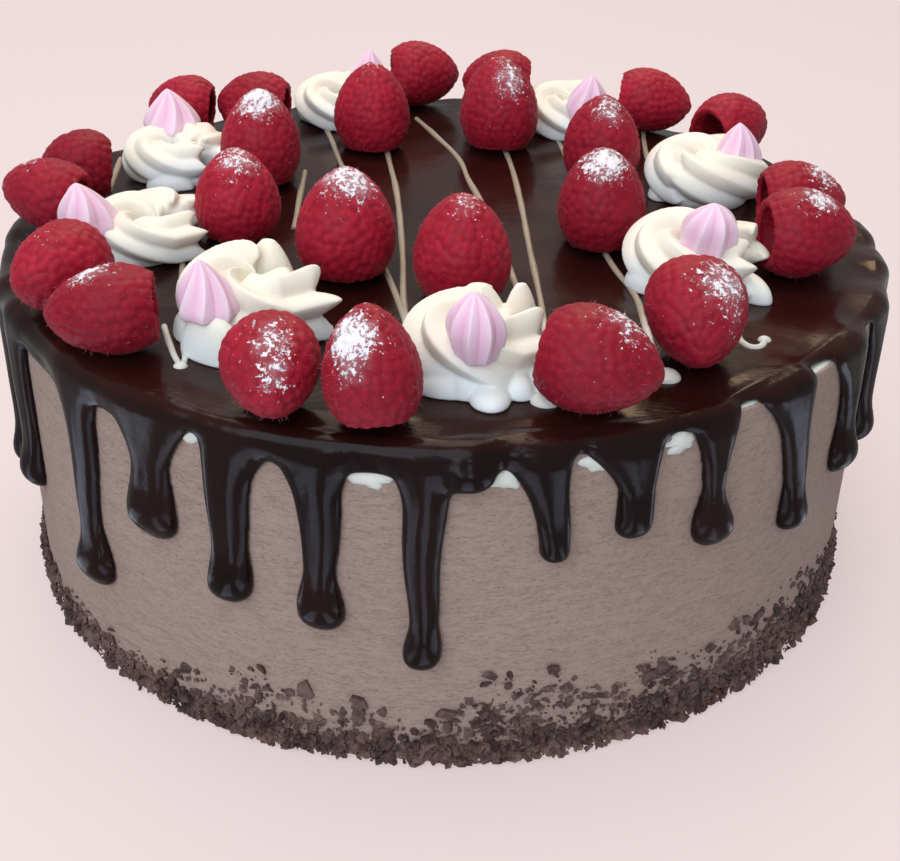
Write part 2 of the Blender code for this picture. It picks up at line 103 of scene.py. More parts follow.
class Wire:
    """An output of a shader node. Arithmetic on wires adds Math nodes."""

    def __init__(self, tree, socket):
        self.tree = tree
        self.socket = socket

    def node(self, kind, settings, sockets, output=0):
        """Adds a node: first its settings, then the values or links of its sockets."""
        made = self.tree.nodes.new(kind)
        for name, value in settings.items():
            setattr(made, name, value)
        for name, value in sockets.items():
            if isinstance(value, Wire):
                self.tree.links.new(value.socket, made.inputs[name])
            else:
                made.inputs[name].default_value = value
        return Wire(self.tree, made.outputs[output])

    def maths(self, operation, first, second):
        return self.node("ShaderNodeMath", {"operation": operation}, {0: first, 1: second})

    def __add__(self, other):
        return self.maths("ADD", self, other)

    def __radd__(self, other):
        return self.maths("ADD", other, self)

    def __sub__(self, other):
        return self.maths("SUBTRACT", self, other)

    def __rsub__(self, other):
        return self.maths("SUBTRACT", other, self)

    def __mul__(self, other):
        return self.maths("MULTIPLY", self, other)

    def __rmul__(self, other):
        return self.maths("MULTIPLY", other, self)

    def between(self, low, high):
        """0 below low, 1 above high, and a smooth step from one to the other."""
        limits = {"Value": self, "From Min": low, "From Max": high}
        return self.node("ShaderNodeMapRange", {"interpolation_type": "SMOOTHSTEP"}, limits)

    def tint(self, low, high):
        """A colour from low, where the wire is 0, to high, where it is 1."""
        shades = {0: self, 6: low, 7: high}
        return self.node("ShaderNodeMix", {"data_type": "RGBA"}, shades, output=2)

    def axis(self, number):
        """The x, y or z of this wire's places, by its number."""
        return self.node("ShaderNodeSeparateXYZ", {}, {"Vector": self}, output=number)

    def mark(self, name):
        """A number that the mesh keeps on its points."""
        return self.node("ShaderNodeAttribute", {"attribute_name": name}, {}, output=2)

    def noise(self, scale, detail=3.0, roughness=0.5, stretch=(1, 1, 1)):
        """Noise on this wire's places, with scale in waves to a metre."""
        places = self.node("ShaderNodeMapping", {}, {"Vector": self, "Scale": stretch})
        grain = {"Vector": places, "Scale": scale, "Detail": detail, "Roughness": roughness}
        return self.node("ShaderNodeTexNoise", {}, grain)

    def bump(self, height, distance, strength=1.0):
        """The normal of a relief of this height wire, whose full swing is distance in metres."""
        relief = {"Height": height, "Distance": distance, "Strength": strength}
        return self.node("ShaderNodeBump", {}, relief)

    def feed(self, shader, name):
        self.tree.links.new(self.socket, shader.inputs[name])


def new_finish(name, **steady):
    """A material, its shader with the values that never vary, and the wire of its places."""
    material = bpy.data.materials.new(name)
    material.use_nodes = True
    shader = material.node_tree.nodes["Principled BSDF"]
    for socket, value in steady.items():
        shader.inputs[socket.replace("_", " ")].default_value = value
    places = material.node_tree.nodes.new("ShaderNodeTexCoord").outputs["Object"]
    return material, shader, Wire(material.node_tree, places)


def rgb(red, green, blue):
    return (red, green, blue, 1.0)


def angles_round(count):
    """The angles of evenly spaced places round a full turn."""
    return 2 * pi * np.arange(count) / count


def polar(radius, angle, height, x=0.0, y=0.0):
    """Points at a radius, an angle and a height round an upright axis that stands at x and y."""
    radius, angle, height = np.broadcast_arrays(radius, angle, height)
    return np.stack([x + radius * np.cos(angle), y + radius * np.sin(angle), height], -1)


def new_piece(name, points, faces, material, marks=None):
    """A smooth mesh of points and of arrays of faces, turned outwards, with marks on its points."""
    points = np.asarray(points, np.float64)
    volume = 0.0
    for group in faces:
        for corner in range(1, group.shape[1] - 1):
            first, second, third = (points[group[:, k]] for k in (0, corner, corner + 1))
            volume += np.einsum("ij,ij->", first, np.cross(second, third))
    if volume < 0:
        faces = [group[:, ::-1] for group in faces]
    mesh = bpy.data.meshes.new(name)
    mesh.vertices.add(len(points))
    mesh.vertices.foreach_set("co", points.ravel())
    corners = np.concatenate([group.ravel() for group in faces])
    sizes = np.concatenate([np.full(len(group), group.shape[1]) for group in faces])
    mesh.loops.add(len(corners))
    mesh.loops.foreach_set("vertex_index", corners.astype(np.int32))
    mesh.polygons.add(len(sizes))
    mesh.polygons.foreach_set("loop_start", (np.cumsum(sizes) - sizes).astype(np.int32))
    mesh.update(calc_edges=True)
    mesh.shade_smooth()
    for mark, values in (marks or {}).items():
        layer = mesh.attributes.new(mark, "FLOAT", "POINT")
        layer.data.foreach_set("value", np.asarray(values, np.float32))
    mesh.materials.append(material)
    piece = bpy.data.objects.new(name, mesh)
    bpy.context.scene.collection.objects.link(piece)
    return piece


def ring_faces(rings, columns, start=0):
    """Quads between rings of equally many points."""
    ring = np.arange(rings - 1)[:, None] * columns + start
    column = np.arange(columns)[None, :]
    beside = (column + 1) % columns
    quads = np.stack([ring + column, ring + beside, ring + beside + columns, ring + column + columns], -1)
    return quads.reshape(-1, 4)


def lid_faces(ring_start, columns, centre):
    """Triangles from a ring of points to one point in its middle."""
    column = np.arange(columns)
    return np.stack([ring_start + column, ring_start + (column + 1) % columns, np.full(columns, centre)], -1)


def loft(rings):
    """Points and faces of rings as (ring, column, xyz), closed by a point amid each end ring."""
    rings = np.asarray(rings)
    count, columns, _ = rings.shape
    points = rings.reshape(-1, 3)
    middles = np.stack([rings[0].mean(0), rings[-1].mean(0)])
    last = (count - 1) * columns
    points = np.concatenate([points, middles])
    first_lid = lid_faces(0, columns, count * columns)[:, ::-1]
    last_lid = lid_faces(last, columns, count * columns + 1)
    return points, [ring_faces(count, columns), np.concatenate([first_lid, last_lid])]


def cake_radius(angle):
    """The side is a little out of round, and widest at the left."""
    wave = np.cos(angle - radians(185)) + 0.35 * np.cos(3 * angle + radians(40))
    return CAKE_RADIUS + OUT_OF_ROUND * wave


def waves(seed, count, around, up):
    """Random waves over a side: (turns round the cake, waves to a metre of height, phase, share)."""
    rng = np.random.default_rng(seed)
    found = []
    for _ in range(count):
        turns, rate = rng.integers(*around), rng.uniform(*up)
        found.append((turns, rate, rng.uniform(0, 2 * pi), rng.uniform(0.4, 1.0)))
    return found


def relief(angle, height, found):
    """The sum of such waves at a place on the side, from about -1 to 1."""
    total = 0.0
    for turns, rate, phase, share in found:
        total = total + share * np.sin(turns * angle + 2 * pi * rate * height + phase)
    return total / sum(share for _, _, _, share in found)


columns = angles_round(FROSTING_COLUMNS)
knife = waves(11, 26, (-40, 40), (8, 420))
profile = [(-0.0050, 0.0), (-0.0006, 0.0), (-0.0001, 0.0008)]
side_heights = np.linspace(FROSTING_FOOT, FROSTING_TOP - FROSTING_EDGE, FROSTING_ROWS)
profile += [(0.0, height) for height in side_heights]
profile += [(-FROSTING_EDGE / 2, FROSTING_TOP), (-FROSTING_SKIN, FROSTING_TOP)]
profile += [(-FROSTING_SKIN, CAKE_TOP), (-CAKE_TOP_REACH, CAKE_TOP)]
frosting_rings = []
for stand_off, height in profile:
    wave = KNIFE_WAVE * relief(columns, height, knife) if stand_off == 0.0 else 0.0
    frosting_rings.append(polar(cake_radius(columns) + stand_off + wave, columns, height))

frosting, frosting_shader, place = new_finish(
    "chocolate_frosting",
    Subsurface_Weight=0.12,
    Subsurface_Scale=0.003,
    Subsurface_Radius=(1.0, 0.6, 0.45),
    Specular_IOR_Level=0.30,
)
streaks = place.noise(420, 4, 0.68, stretch=(0.50, 0.50, 2.0))
grain = place.noise(1250, 3, 0.68, stretch=(0.75, 0.75, 1.5))
clouds = place.noise(24)
torn_pores_and_shade = (0.62 * grain + 0.38 * streaks).between(0.30, 0.54)
pale = clouds.tint(rgb(0.366, 0.252, 0.214), rgb(0.420, 0.300, 0.257))
worked = (0.5 * streaks).tint(pale, rgb(0.470, 0.350, 0.310))
# The torn pores are painted darker: painted shade in the pores, on top of their bump relief.
torn_pores_and_shade.tint(rgb(0.305, 0.210, 0.182), worked).feed(frosting_shader, "Base Color")
(0.72 + 0.16 * streaks).feed(frosting_shader, "Roughness")
frosting_height = 0.6 * streaks + 0.35 * torn_pores_and_shade + 0.35 * grain
place.bump(frosting_height, 0.00030).feed(frosting_shader, "Normal")
frosted_side = new_piece("frosted_side", *loft(frosting_rings), frosting)
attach(frosted_side, "root")
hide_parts("cake_body")

# ---------------------------------------------------------------------------------------------
# Chocolate flakes: dark chocolate broken small and pressed into the foot of the side by hand, so
# they lie thick at the bottom, pile up here and there, and thin out to single chips higher up.

# The top of the flakes round the side: angle in degrees and height.
FLAKE_TOPS = (
    (-175, 0.012), (-160, 0.010), (-147, 0.010), (-140, 0.013), (-133, 0.013), (-127, 0.011),
    (-120, 0.015), (-111, 0.021), (-105, 0.014), (-98, 0.018), (-92, 0.013), (-88, 0.016), (-82, 0.029),
    (-77, 0.025), (-71, 0.019), (-64, 0.024), (-56, 0.018), (-50, 0.026), (-43, 0.022),
    (-37, 0.022), (-27, 0.020), (-15, 0.016), (10, 0.014), (35, 0.018), (60, 0.014),
    (85, 0.019), (110, 0.013), (135, 0.016), (160, 0.012), (180, 0.014),
)
FLAKE_SIZES = (0.0009, 0.0044)
# Large single flakes: angle, height on the side, length, and turn in degrees.
LARGE_FLAKES = (
    (-105.3, 0.0185, 0.0072, 12), (-98.9, 0.0176, 0.0056, 60), (-89.3, 0.0151, 0.0064, 100),
    (-84.3, 0.0264, 0.0046, 80), (-77.1, 0.0262, 0.0044, 20), (-64.7, 0.0178, 0.0052, 130),
    (-63.0, 0.0192, 0.0058, 10), (-61.9, 0.0170, 0.0048, 70), (-49.7, 0.0218, 0.0058, 40),
    (-55.8, 0.0191, 0.0040, 90), (-110.5, 0.0220, 0.0036, 50), (-47.5, 0.0205, 0.0050, 120),
)
FLAKES_TO_SQUARE_METRE = 0.98e6
FLAKE_RARITY = 2.6
FLAKE_TILT = 0.75
FLAKE_SPIN = 3.14
FLAKE_PILE, PILE_FADES = 0.0018, 0.0045
FOOT_COVER = 0.0052
BAND_COLUMNS = 720
BAND_ROWS = 36
BAND_LOW, BAND_HIGH = 0.0009, 0.036
FLAKE_FLOOR = 0.0001
CHIP_SHAPES = 7
FLAKE_SEED = 3
SHARD_SEED = 40
SHARD_OUT = 0.0006
chocolate, chocolate_shader, place = new_finish("dark_chocolate_flakes", Specular_IOR_Level=0.35)
broken = place.noise(420, 4, 0.6)
tone = place.noise(95, 2)
mixed = (0.55 * broken + 0.45 * tone).between(0.36, 0.62)
mixed.tint(rgb(0.040, 0.020, 0.018), rgb(0.170, 0.098, 0.088)).feed(chocolate_shader, "Base Color")
(0.44 + 0.25 * broken).feed(chocolate_shader, "Roughness")
place.bump(place.noise(2200, 3, 0.6), 0.00010).feed(chocolate_shader, "Normal")


def chip(name, seed):
    """One broken chip, a metre long: an uneven slab with four to six corners."""
    rng = np.random.default_rng(seed)
    corners = int(rng.integers(4, 7))
    thick = rng.uniform(0.05, 0.12)
    turns = 2 * pi * (np.arange(corners) + rng.uniform(-0.25, 0.25, corners)) / corners
    reach = 0.5 * rng.uniform(0.72, 1.1, corners)
    outline = np.stack([reach * np.cos(turns), rng.uniform(0.42, 0.80) * reach * np.sin(turns)], -1)
    lean = rng.uniform(-0.12, 0.12, (corners, 1))
    lower = np.concatenate([outline * 0.92, -thick + 0 * lean], -1)
    upper = np.concatenate([outline, thick + lean], -1)
    made = new_piece(name, *loft([lower, upper]), chocolate)
    made.data.shade_flat()
    return made


SCATTER_INPUTS = {"Smallest": "Float", "Largest": "Float", "Density": "Float", "Seed": "Int"}


def amounts(sizes, density, seed):
    """The values of those inputs."""
    return {"Smallest": sizes[0], "Largest": sizes[1], "Density": density, "Seed": seed}


class Grower:
    """A Geometry Nodes tree with named inputs, built node by node."""

    def __init__(self, name, inputs):
        self.tree = bpy.data.node_groups.new(name, "GeometryNodeTree")
        self.tree.interface.new_socket("Geometry", in_out="INPUT", socket_type="NodeSocketGeometry")
        for label, kind in inputs.items():
            self.tree.interface.new_socket(label, in_out="INPUT", socket_type="NodeSocket" + kind)
        self.tree.interface.new_socket("Geometry", in_out="OUTPUT", socket_type="NodeSocketGeometry")
        self.entry = self.tree.nodes.new("NodeGroupInput")
        self.exit = self.tree.nodes.new("NodeGroupOutput")

    def given(self, label):
        return self.entry.outputs[label]

    def add(self, kind, settings, sockets, output=0):
        """Adds a node: first its settings, then the values or links of its sockets."""
        made = self.tree.nodes.new(kind)
        for name, value in settings.items():
            setattr(made, name, value)
        for name, value in sockets.items():
            if isinstance(value, bpy.types.NodeSocket):
                self.tree.links.new(value, made.inputs[name])
            else:
                made.inputs[name].default_value = value
        return made.outputs[output]

    def scatter(self, mark, shape, rarity, tilt, spin, pick_one=False):
        """Copies of a shape on a surface, as many as the mark's value asks for at each place."""
        share = self.add("GeometryNodeInputNamedAttribute", {"data_type": "FLOAT"}, {"Name": mark})
        wanted = {0: share, 1: self.given("Density")}
        density = self.add("ShaderNodeMath", {"operation": "MULTIPLY"}, wanted)
        ground = {"Mesh": self.given("Geometry"), "Density": density, "Seed": self.given("Seed")}
        spots = self.add("GeometryNodeDistributePointsOnFaces", {"distribute_method": "RANDOM"}, ground)
        chance = {2: 0.0, 3: 1.0, "Seed": 5}
        pick = self.add("FunctionNodeRandomValue", {"data_type": "FLOAT"}, chance, output=1)
        rare = self.add("ShaderNodeMath", {"operation": "POWER"}, {0: pick, 1: rarity})
        sizes = {"Value": rare, "To Min": self.given("Smallest"), "To Max": self.given("Largest")}
        size = self.add("ShaderNodeMapRange", {}, sizes)
        copying = {"Points": spots, "Instance": shape, "Pick Instance": pick_one, "Scale": size}
        copying["Rotation"] = spots.node.outputs["Rotation"]
        copies = self.add("GeometryNodeInstanceOnPoints", {}, copying)
        span = {0: (-tilt, -tilt, -spin), 1: (tilt, tilt, spin), "Seed": 9}
        turn = self.add("FunctionNodeRandomValue", {"data_type": "FLOAT_VECTOR"}, span)
        turning = {"Instances": copies, "Rotation": turn, "Local Space": True}
        return self.add("GeometryNodeRotateInstances", {}, turning)

    def finish(self, geometry, material):
        """Ends the tree in real geometry with its material."""
        real = self.add("GeometryNodeRealizeInstances", {}, {0: geometry})
        dressed = self.add("GeometryNodeSetMaterial", {}, {"Geometry": real, "Material": material})
        self.tree.links.new(dressed, self.exit.inputs[0])


def baked(source, material):
    """The plain mesh of an object with its modifiers applied, which are then removed."""
    bpy.context.view_layer.update()
    evaluated = source.evaluated_get(bpy.context.evaluated_depsgraph_get())
    mesh = bpy.data.meshes.new_from_object(evaluated)
    mesh.materials.clear()
    mesh.materials.append(material)
    source.modifiers.clear()
    return mesh


def grown(name, source, grower, values, material):
    """The plain mesh that a tree makes on a source object, which is removed."""
    modifier = source.modifiers.new(name, "NODES")
    modifier.node_group = grower.tree
    for item in grower.tree.interface.items_tree:
        if item.in_out == "INPUT" and item.name in values:
            modifier[item.identifier] = values[item.name]
    mesh = baked(source, material)
    mesh.name = name
    bpy.data.objects.remove(source, do_unlink=True)
    piece = bpy.data.objects.new(name, mesh)
    bpy.context.scene.collection.objects.link(piece)
    return piece


def gather(pieces, mesh):
    """Writes the meshes of several pieces into one."""
    gathered = bmesh.new()
    for piece in pieces:
        gathered.from_mesh(piece.data)
    gathered.to_mesh(mesh)
    gathered.free()


def join(piece, parts):
    """Adds other pieces to a piece, and removes them."""
    gather([piece, *parts], piece.data)
    for part in parts:
        bpy.data.objects.remove(part, do_unlink=True)


def hill(place, middle, width):
    """1 at the middle, and fading to nothing over about twice the width on both sides."""
    return np.exp(-(((place - middle) / width) ** 2))


def flake_cover(angle, height):
    """Share of the side that flakes cover: 1 at the foot, thinning out at the local top."""
    angles, tops = np.array(FLAKE_TOPS).T
    top = np.interp(np.degrees(angle) % 360, angles % 360, tops, period=360)
    ragged = top * (1 + 0.55 * relief(angle, height, flake_rags))
    share = height / ragged
    dense = np.clip(1.25 - 1.15 * share, 0, 1) ** 1.3
    foot = 1.2 * hill(height, 0, FOOT_COVER)
    return np.clip(dense + foot, 0, 1.4) * (share < 1.08)


flake_rags = waves(23, 18, (6, 70), (10, 120))
band_angles = angles_round(BAND_COLUMNS)
band_heights = np.linspace(BAND_LOW, BAND_HIGH, BAND_ROWS)
band = []
for height in band_heights:
    heap = FLAKE_PILE * np.exp(-height / PILE_FADES) * (1 + 0.5 * relief(band_angles, height, flake_rags))
    band.append(polar(cake_radius(band_angles) + FLAKE_FLOOR + heap, band_angles, height))
cover = np.stack([flake_cover(band_angles, height) for height in band_heights]).ravel()
band_points = np.array(band).reshape(-1, 3)
band_faces = [ring_faces(BAND_ROWS, BAND_COLUMNS)]
flake_ground = new_piece("flake_ground", band_points, band_faces, chocolate, {"cover": cover})

chips = bpy.data.collections.new("chips")
for seed in range(CHIP_SHAPES):
    shape = chip(f"chip_{seed}", seed)
    bpy.context.scene.collection.objects.unlink(shape)
    chips.objects.link(shape)

flakes_tree = Grower("scattered_flakes", {"Chips": "Collection", **SCATTER_INPUTS})
choice = {"Collection": flakes_tree.given("Chips"), "Separate Children": True, "Reset Children": True}
picks = flakes_tree.add("GeometryNodeCollectionInfo", {}, choice)
turned = flakes_tree.scatter("cover", picks, FLAKE_RARITY, FLAKE_TILT, FLAKE_SPIN, pick_one=True)
real = flakes_tree.add("GeometryNodeRealizeInstances", {}, {0: turned})
where = flakes_tree.add("GeometryNodeInputPosition", {}, {})
height = flakes_tree.add("ShaderNodeSeparateXYZ", {}, {0: where}, output=2)
raised = flakes_tree.add("ShaderNodeMath", {"operation": "MAXIMUM"}, {0: height, 1: FLAKE_FLOOR})
flat_x, flat_y = height.node.outputs[0], height.node.outputs[1]
moved = flakes_tree.add("ShaderNodeCombineXYZ", {}, {0: flat_x, 1: flat_y, 2: raised})
grounded = flakes_tree.add("GeometryNodeSetPosition", {}, {"Geometry": real, "Position": moved})
flakes_tree.finish(grounded, chocolate)
flake_values = {"Chips": chips, **amounts(FLAKE_SIZES, FLAKES_TO_SQUARE_METRE, FLAKE_SEED)}
flakes = grown("chocolate_flakes", flake_ground, flakes_tree, flake_values, chocolate)
for shape in list(chips.objects):
    bpy.data.objects.remove(shape, do_unlink=True)
shards = []
for number, (angle, height, length, turn) in enumerate(LARGE_FLAKES):
    shard = chip(f"shard_{number}", SHARD_SEED + number)
    spot = Matrix.Translation(polar(cake_radius(radians(angle)) + SHARD_OUT, radians(angle), height))
    facing = Euler((0, radians(90 + 8 * sin(5 * number)), radians(angle))).to_matrix().to_4x4()
    spun = Matrix.Rotation(radians(turn), 4, "Z")
    shard.data.transform(spot @ facing @ spun @ Matrix.Diagonal((length, length, 0.8 * length, 1)))
    shards.append(shard)
join(flakes, shards)
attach(flakes, "root")

# ---------------------------------------------------------------------------------------------
# The ganache: chocolate and cream poured warm over the chilled cake. It levels on top, rounds the
# edge as a thick lip, runs down in drips that end in heavy round drops, and sets with a gloss.
LID_UNDER = 0.0851
LID_THICK = 0.0026
EDGE_ROUND = 0.0013
LIP_THICK = 0.0014
LIP_ROUND = 0.0009
STAND_CLEAR = 0.0001
# Along the path over the edge: where the lid thins to the lip, the bead that the lip's edge ends in,
# and the uneven places on the shoulder.
THIN_FROM, THIN_OVER = -0.007, 0.012
BEAD, BEAD_BACK, BEAD_WIDE = 0.0004, 0.0014, 0.0011
EDGE_UNEVEN, UNEVEN_MIDDLE, UNEVEN_WIDE = 0.0008, 0.001, 0.0065
# The grid that the ganache's skin is found on: its columns round the cake, its steps outwards from
# the side, and its steps upwards.
GANACHE_COLUMNS = 864
GANACHE_IN, GANACHE_OUT = -0.0100, 0.0060
GANACHE_STEPS = 30
GANACHE_LOW, GANACHE_HIGH = 0.0240, 0.0905
GANACHE_UP = 0.00080
EDGE_EASE = 15
FLARE_LENGTH = 0.0125
FLARE_TOP = 0.0836
MELD = 0.0017
DRIP_NEAR = radians(10)
DRIP_ROUNDNESS = 2.2
DRIP_SWAY, SWAY_LENGTH = 0.00035, 0.0052
DRIP_RIDGE = 0.00015
DRIP_UNEVEN = 0.00022
RIDGES_EASE = 0.006
STEM_DEPTH = 0.0033
DROP_DEPTH, DROP_LENGTH, DROP_USUAL = 0.0050, 0.0052, 0.0090
DRIP_FIELD = 0.0030
# How far on top a drip's root starts, how far the roots sink into the rim, less at the sides than at
# the front, and over what stretch they do.
ROOT_BACK, ROOT_LENGTH = 0.0005, 0.0075
ROOTS_SUNK, ROOTS_SUNK_ASIDE = 0.0019, 0.0004
SUNK_TO, SUNK_OVER = 0.0045, 0.0065
FRONT_FROM, FRONT_TO = -118, -50
# The rings of the lid's top, from the grid's inner edge to the middle: radius and number of points.
LID_RINGS = (
    (0.1035, 432), (0.1005, 216), (0.0960, 108), (0.0900, 108), (0.0835, 108), (0.0765, 108),
    (0.0690, 54), (0.0600, 54), (0.0500, 54), (0.0400, 27), (0.0300, 27), (0.0200, 27), (0.0100, 27),
)
# Each front drip's angle, its tip's height, the widths of its stem and its drop, how far its root
# spreads to the left and the right, and how far the root and the tip stand to the right.
DRIPS = [
    (-159.5, 0.0343, 0.0076, 0.0092, 0.0040, 0.0040, 0.0, 0.0),
    (-151.8, 0.0365, 0.0086, 0.0102, 0.0040, 0.0040, 0.0, 0.0),
    (-134.7, 0.0262, 0.0072, 0.0128, 0.0080, 0.0062, 0.0008, -0.0008),
    (-123.2, 0.0505, 0.0108, 0.0134, 0.0085, 0.0085, 0.0, 0.0),
    (-113.3, 0.0400, 0.0092, 0.0108, 0.0016, 0.0098, 0.0, -0.0004),
    (-103.0, 0.0377, 0.0074, 0.0108, 0.0075, 0.0068, 0.0, 0.0004),
    (-92.2, 0.0290, 0.0066, 0.0088, 0.0060, 0.0062, 0.0006, 0.0006),
    (-87.4, 0.0758, 0.0066, 0.0074, 0.0030, 0.0028, 0.0, 0.0),
    (-78.6, 0.0570, 0.0076, 0.0068, 0.0074, 0.0016, -0.0010, 0.0010),
    (-69.0, 0.0600, 0.0088, 0.0086, 0.0084, 0.0026, -0.0010, -0.0004),
    (-59.5, 0.0518, 0.0058, 0.0110, 0.0046, 0.0030, -0.0002, 0.0016),
    (-45.8, 0.0446, 0.0074, 0.0092, 0.0085, 0.0024, -0.0020, 0.0030),
    (-33.4, 0.0490, 0.0078, 0.0114, 0.0060, 0.0040, -0.0004, 0.0028),
    (-20.4, 0.0443, 0.0074, 0.0096, 0.0060, 0.0030, -0.0010, 0.0020),
    (-9.2, 0.0660, 0.0078, 0.0092, 0.0040, 0.0040, 0.0, 0.0),
]
# The top of each gap between drips at the front: its angle and height.
GAP_TOPS = [
    (-165.0, 0.0835), (-155.6, 0.0815), (-142.0, 0.0795), (-128.5, 0.0795), (-117.5, 0.0840),
    (-108.2, 0.0812), (-97.0, 0.0795), (-88.6, 0.0804), (-84.9, 0.0860), (-82.4, 0.0860),
    (-73.5, 0.0864), (-64.2, 0.0836), (-52.5, 0.0868), (-39.5, 0.0864), (-27.0, 0.0852),
    (-15.0, 0.0836), (-3.0, 0.0832),
]
FRONT_DRIPS = len(DRIPS)
# The drips at the back, where each is a little different: how many, the first one's angle, and the
# angle between two.
BACK_DRIPS = 14
BACK_FIRST, BACK_APART = 3.5, 13.7
drip_rng = np.random.default_rng(3)
for index in range(BACK_DRIPS):
    angle = BACK_FIRST + index * BACK_APART + drip_rng.uniform(-2.0, 2.0)
    tip = drip_rng.uniform(0.030, 0.062)
    stem = drip_rng.uniform(0.0070, 0.0092)
    drop = stem + drip_rng.uniform(0.0003, 0.0018)
    DRIPS.append((angle, tip, stem, drop, 0.0040, 0.0040, 0.0, 0.0))
for number, (drip, following) in enumerate(zip(DRIPS[FRONT_DRIPS:-1], DRIPS[FRONT_DRIPS + 1 :])):
    GAP_TOPS.append(((drip[0] + following[0]) / 2, 0.0815 + 0.0028 * sin(2.3 * number) ** 2))


def meld(first, second, reach):
    """The larger of two fields, with a fillet where they meet."""
    near = np.maximum(reach - np.abs(first - second), 0.0)
    return np.maximum(first, second) + near * near / (4 * reach)


def surface_nets(field):
    """Points (in grid steps) and quads on the zero level of a field that wraps along its first axis.

    Inside is positive. Each crossed cell gets a point at the mean of its edge crossings."""
    turns, across, up = field.shape
    wrapped = np.concatenate([field, field[:1]])
    inside = wrapped > 0
    corners = [
        inside[a : a + turns, b : b + across - 1, c : c + up - 1]
        for a in (0, 1)
        for b in (0, 1)
        for c in (0, 1)
    ]
    some = np.logical_or.reduce(corners)
    every = np.logical_and.reduce(corners)
    cells = np.argwhere(some & ~every)
    numbers = np.full(some.shape, -1, np.int32)
    numbers[tuple(cells.T)] = np.arange(len(cells))
    total = np.zeros((len(cells), 3))
    crossings = np.zeros(len(cells))
    for axis in range(3):
        for first in (0, 1):
            for second in (0, 1):
                start = np.insert([first, second], axis, 0)
                near = tuple((cells + start).T)
                step = np.eye(3, dtype=int)[axis]
                far = tuple((cells + start + step).T)
                low, high = wrapped[near], wrapped[far]
                cross = (low > 0) != (high > 0)
                share = np.where(cross, low / np.where(cross, low - high, 1.0), 0.0)
                total += cross[:, None] * (start + share[:, None] * step)
                crossings += cross
    points = cells + total / crossings[:, None]
    quads = []
    for axis in range(3):
        step = np.eye(3, dtype=int)[axis]
        low = inside[:turns]
        high = inside[step[0] : turns + step[0], step[1] :, step[2] :]
        low = low[:, : high.shape[1], : high.shape[2]]
        edges = np.argwhere(low != high)
        beside = [other for other in range(3) if other != axis]
        for other in beside:
            if other != 0:
                edges = edges[(edges[:, other] > 0) & (edges[:, other] < field.shape[other] - 1)]
        flipped = low[tuple(edges.T)]
        loop = []
        for back in ((1, 1), (0, 1), (0, 0), (1, 0)):
            cell = edges.copy()
            cell[:, beside[0]] -= back[0]
            cell[:, beside[1]] -= back[1]
            cell[:, 0] %= turns
            loop.append(numbers[tuple(cell.T)])
        group = np.stack(loop, -1)
        if axis == 1:
            flipped = ~flipped
        group[flipped] = group[flipped][:, ::-1]
        quads.append(group)
    return points, np.concatenate(quads), cells


SWELLS = 7
SWELL_HEIGHT = 0.00004


def top_swell(x, y):
    """The ganache's top isn't quite level: low swells where it was pushed to the edge."""
    rng = np.random.default_rng(31)
    total = 0.0
    for _ in range(SWELLS):
        rate = rng.uniform(0.010, 0.024)
        heading = rng.uniform(0, 2 * pi)
        total = total + np.sin((x * cos(heading) + y * sin(heading)) / rate + rng.uniform(0, 2 * pi))
    return SWELL_HEIGHT * total


# Every place of the grid's section: how far it stands proud of the cake, and its path over the
# edge, which runs out over the top, round the corner and down the side.
ganache_angles = angles_round(GANACHE_COLUMNS)
step_out = (GANACHE_OUT - GANACHE_IN) / (GANACHE_STEPS - 1)
outs = GANACHE_IN + step_out * np.arange(GANACHE_STEPS)
ups = np.arange(GANACHE_LOW, GANACHE_HIGH, GANACHE_UP)
off, above = np.broadcast_arrays(outs[:, None] + EDGE_ROUND, ups[None, :] - (LID_UNDER - EDGE_ROUND))
on_side = above <= 0
on_top = (off <= 0) & ~on_side
quarter = EDGE_ROUND * pi / 2
corner_path = EDGE_ROUND * np.arctan2(np.maximum(off, 0), np.maximum(above, 1e-9))
proud = np.where(on_side, off, np.where(on_top, above, np.hypot(off, above))) - EDGE_ROUND
path = np.where(on_side, quarter - above, np.where(on_top, off, corner_path))
side_start = quarter + LID_UNDER - EDGE_ROUND

gap_angles, gap_heights = np.array(GAP_TOPS).T
gap_angles = np.radians(gap_angles) % (2 * pi)
order = np.argsort(gap_angles)
edge_height = np.interp(ganache_angles, gap_angles[order], gap_heights[order], period=2 * pi)
ease = np.exp(-np.linspace(-2, 2, 2 * EDGE_EASE + 1) ** 2)
edge_height = np.concatenate([edge_height[-EDGE_EASE:], edge_height, edge_height[:EDGE_EASE]])
edge_path = side_start - np.convolve(edge_height, ease / ease.sum(), "valid")[:, None, None]
section = polar(cake_radius(ganache_angles)[:, None] + outs, ganache_angles[:, None], 0.0)
swell = top_swell(section[..., 0], section[..., 1])[..., None]

shoulder_waves = waves(47, 22, (-26, 26), (10, 75))
uneven = relief(ganache_angles[:, None, None], path, shoulder_waves)
uneven = uneven * hill(path, UNEVEN_MIDDLE, UNEVEN_WIDE)
lip = np.clip((path - THIN_FROM) / THIN_OVER, 0, 1)
bead = hill(path, edge_path - BEAD_BACK, BEAD_WIDE)
thick = LID_THICK + (LIP_THICK - LID_THICK) * lip + BEAD * bead + swell + EDGE_UNEVEN * uneven
beyond = path - (edge_path - LIP_ROUND)
over = proud - (thick - LIP_ROUND)
outside = np.hypot(np.maximum(beyond, 0), np.maximum(over, 0)) + np.minimum(np.maximum(beyond, over), 0)
ganache_field = LIP_ROUND - outside


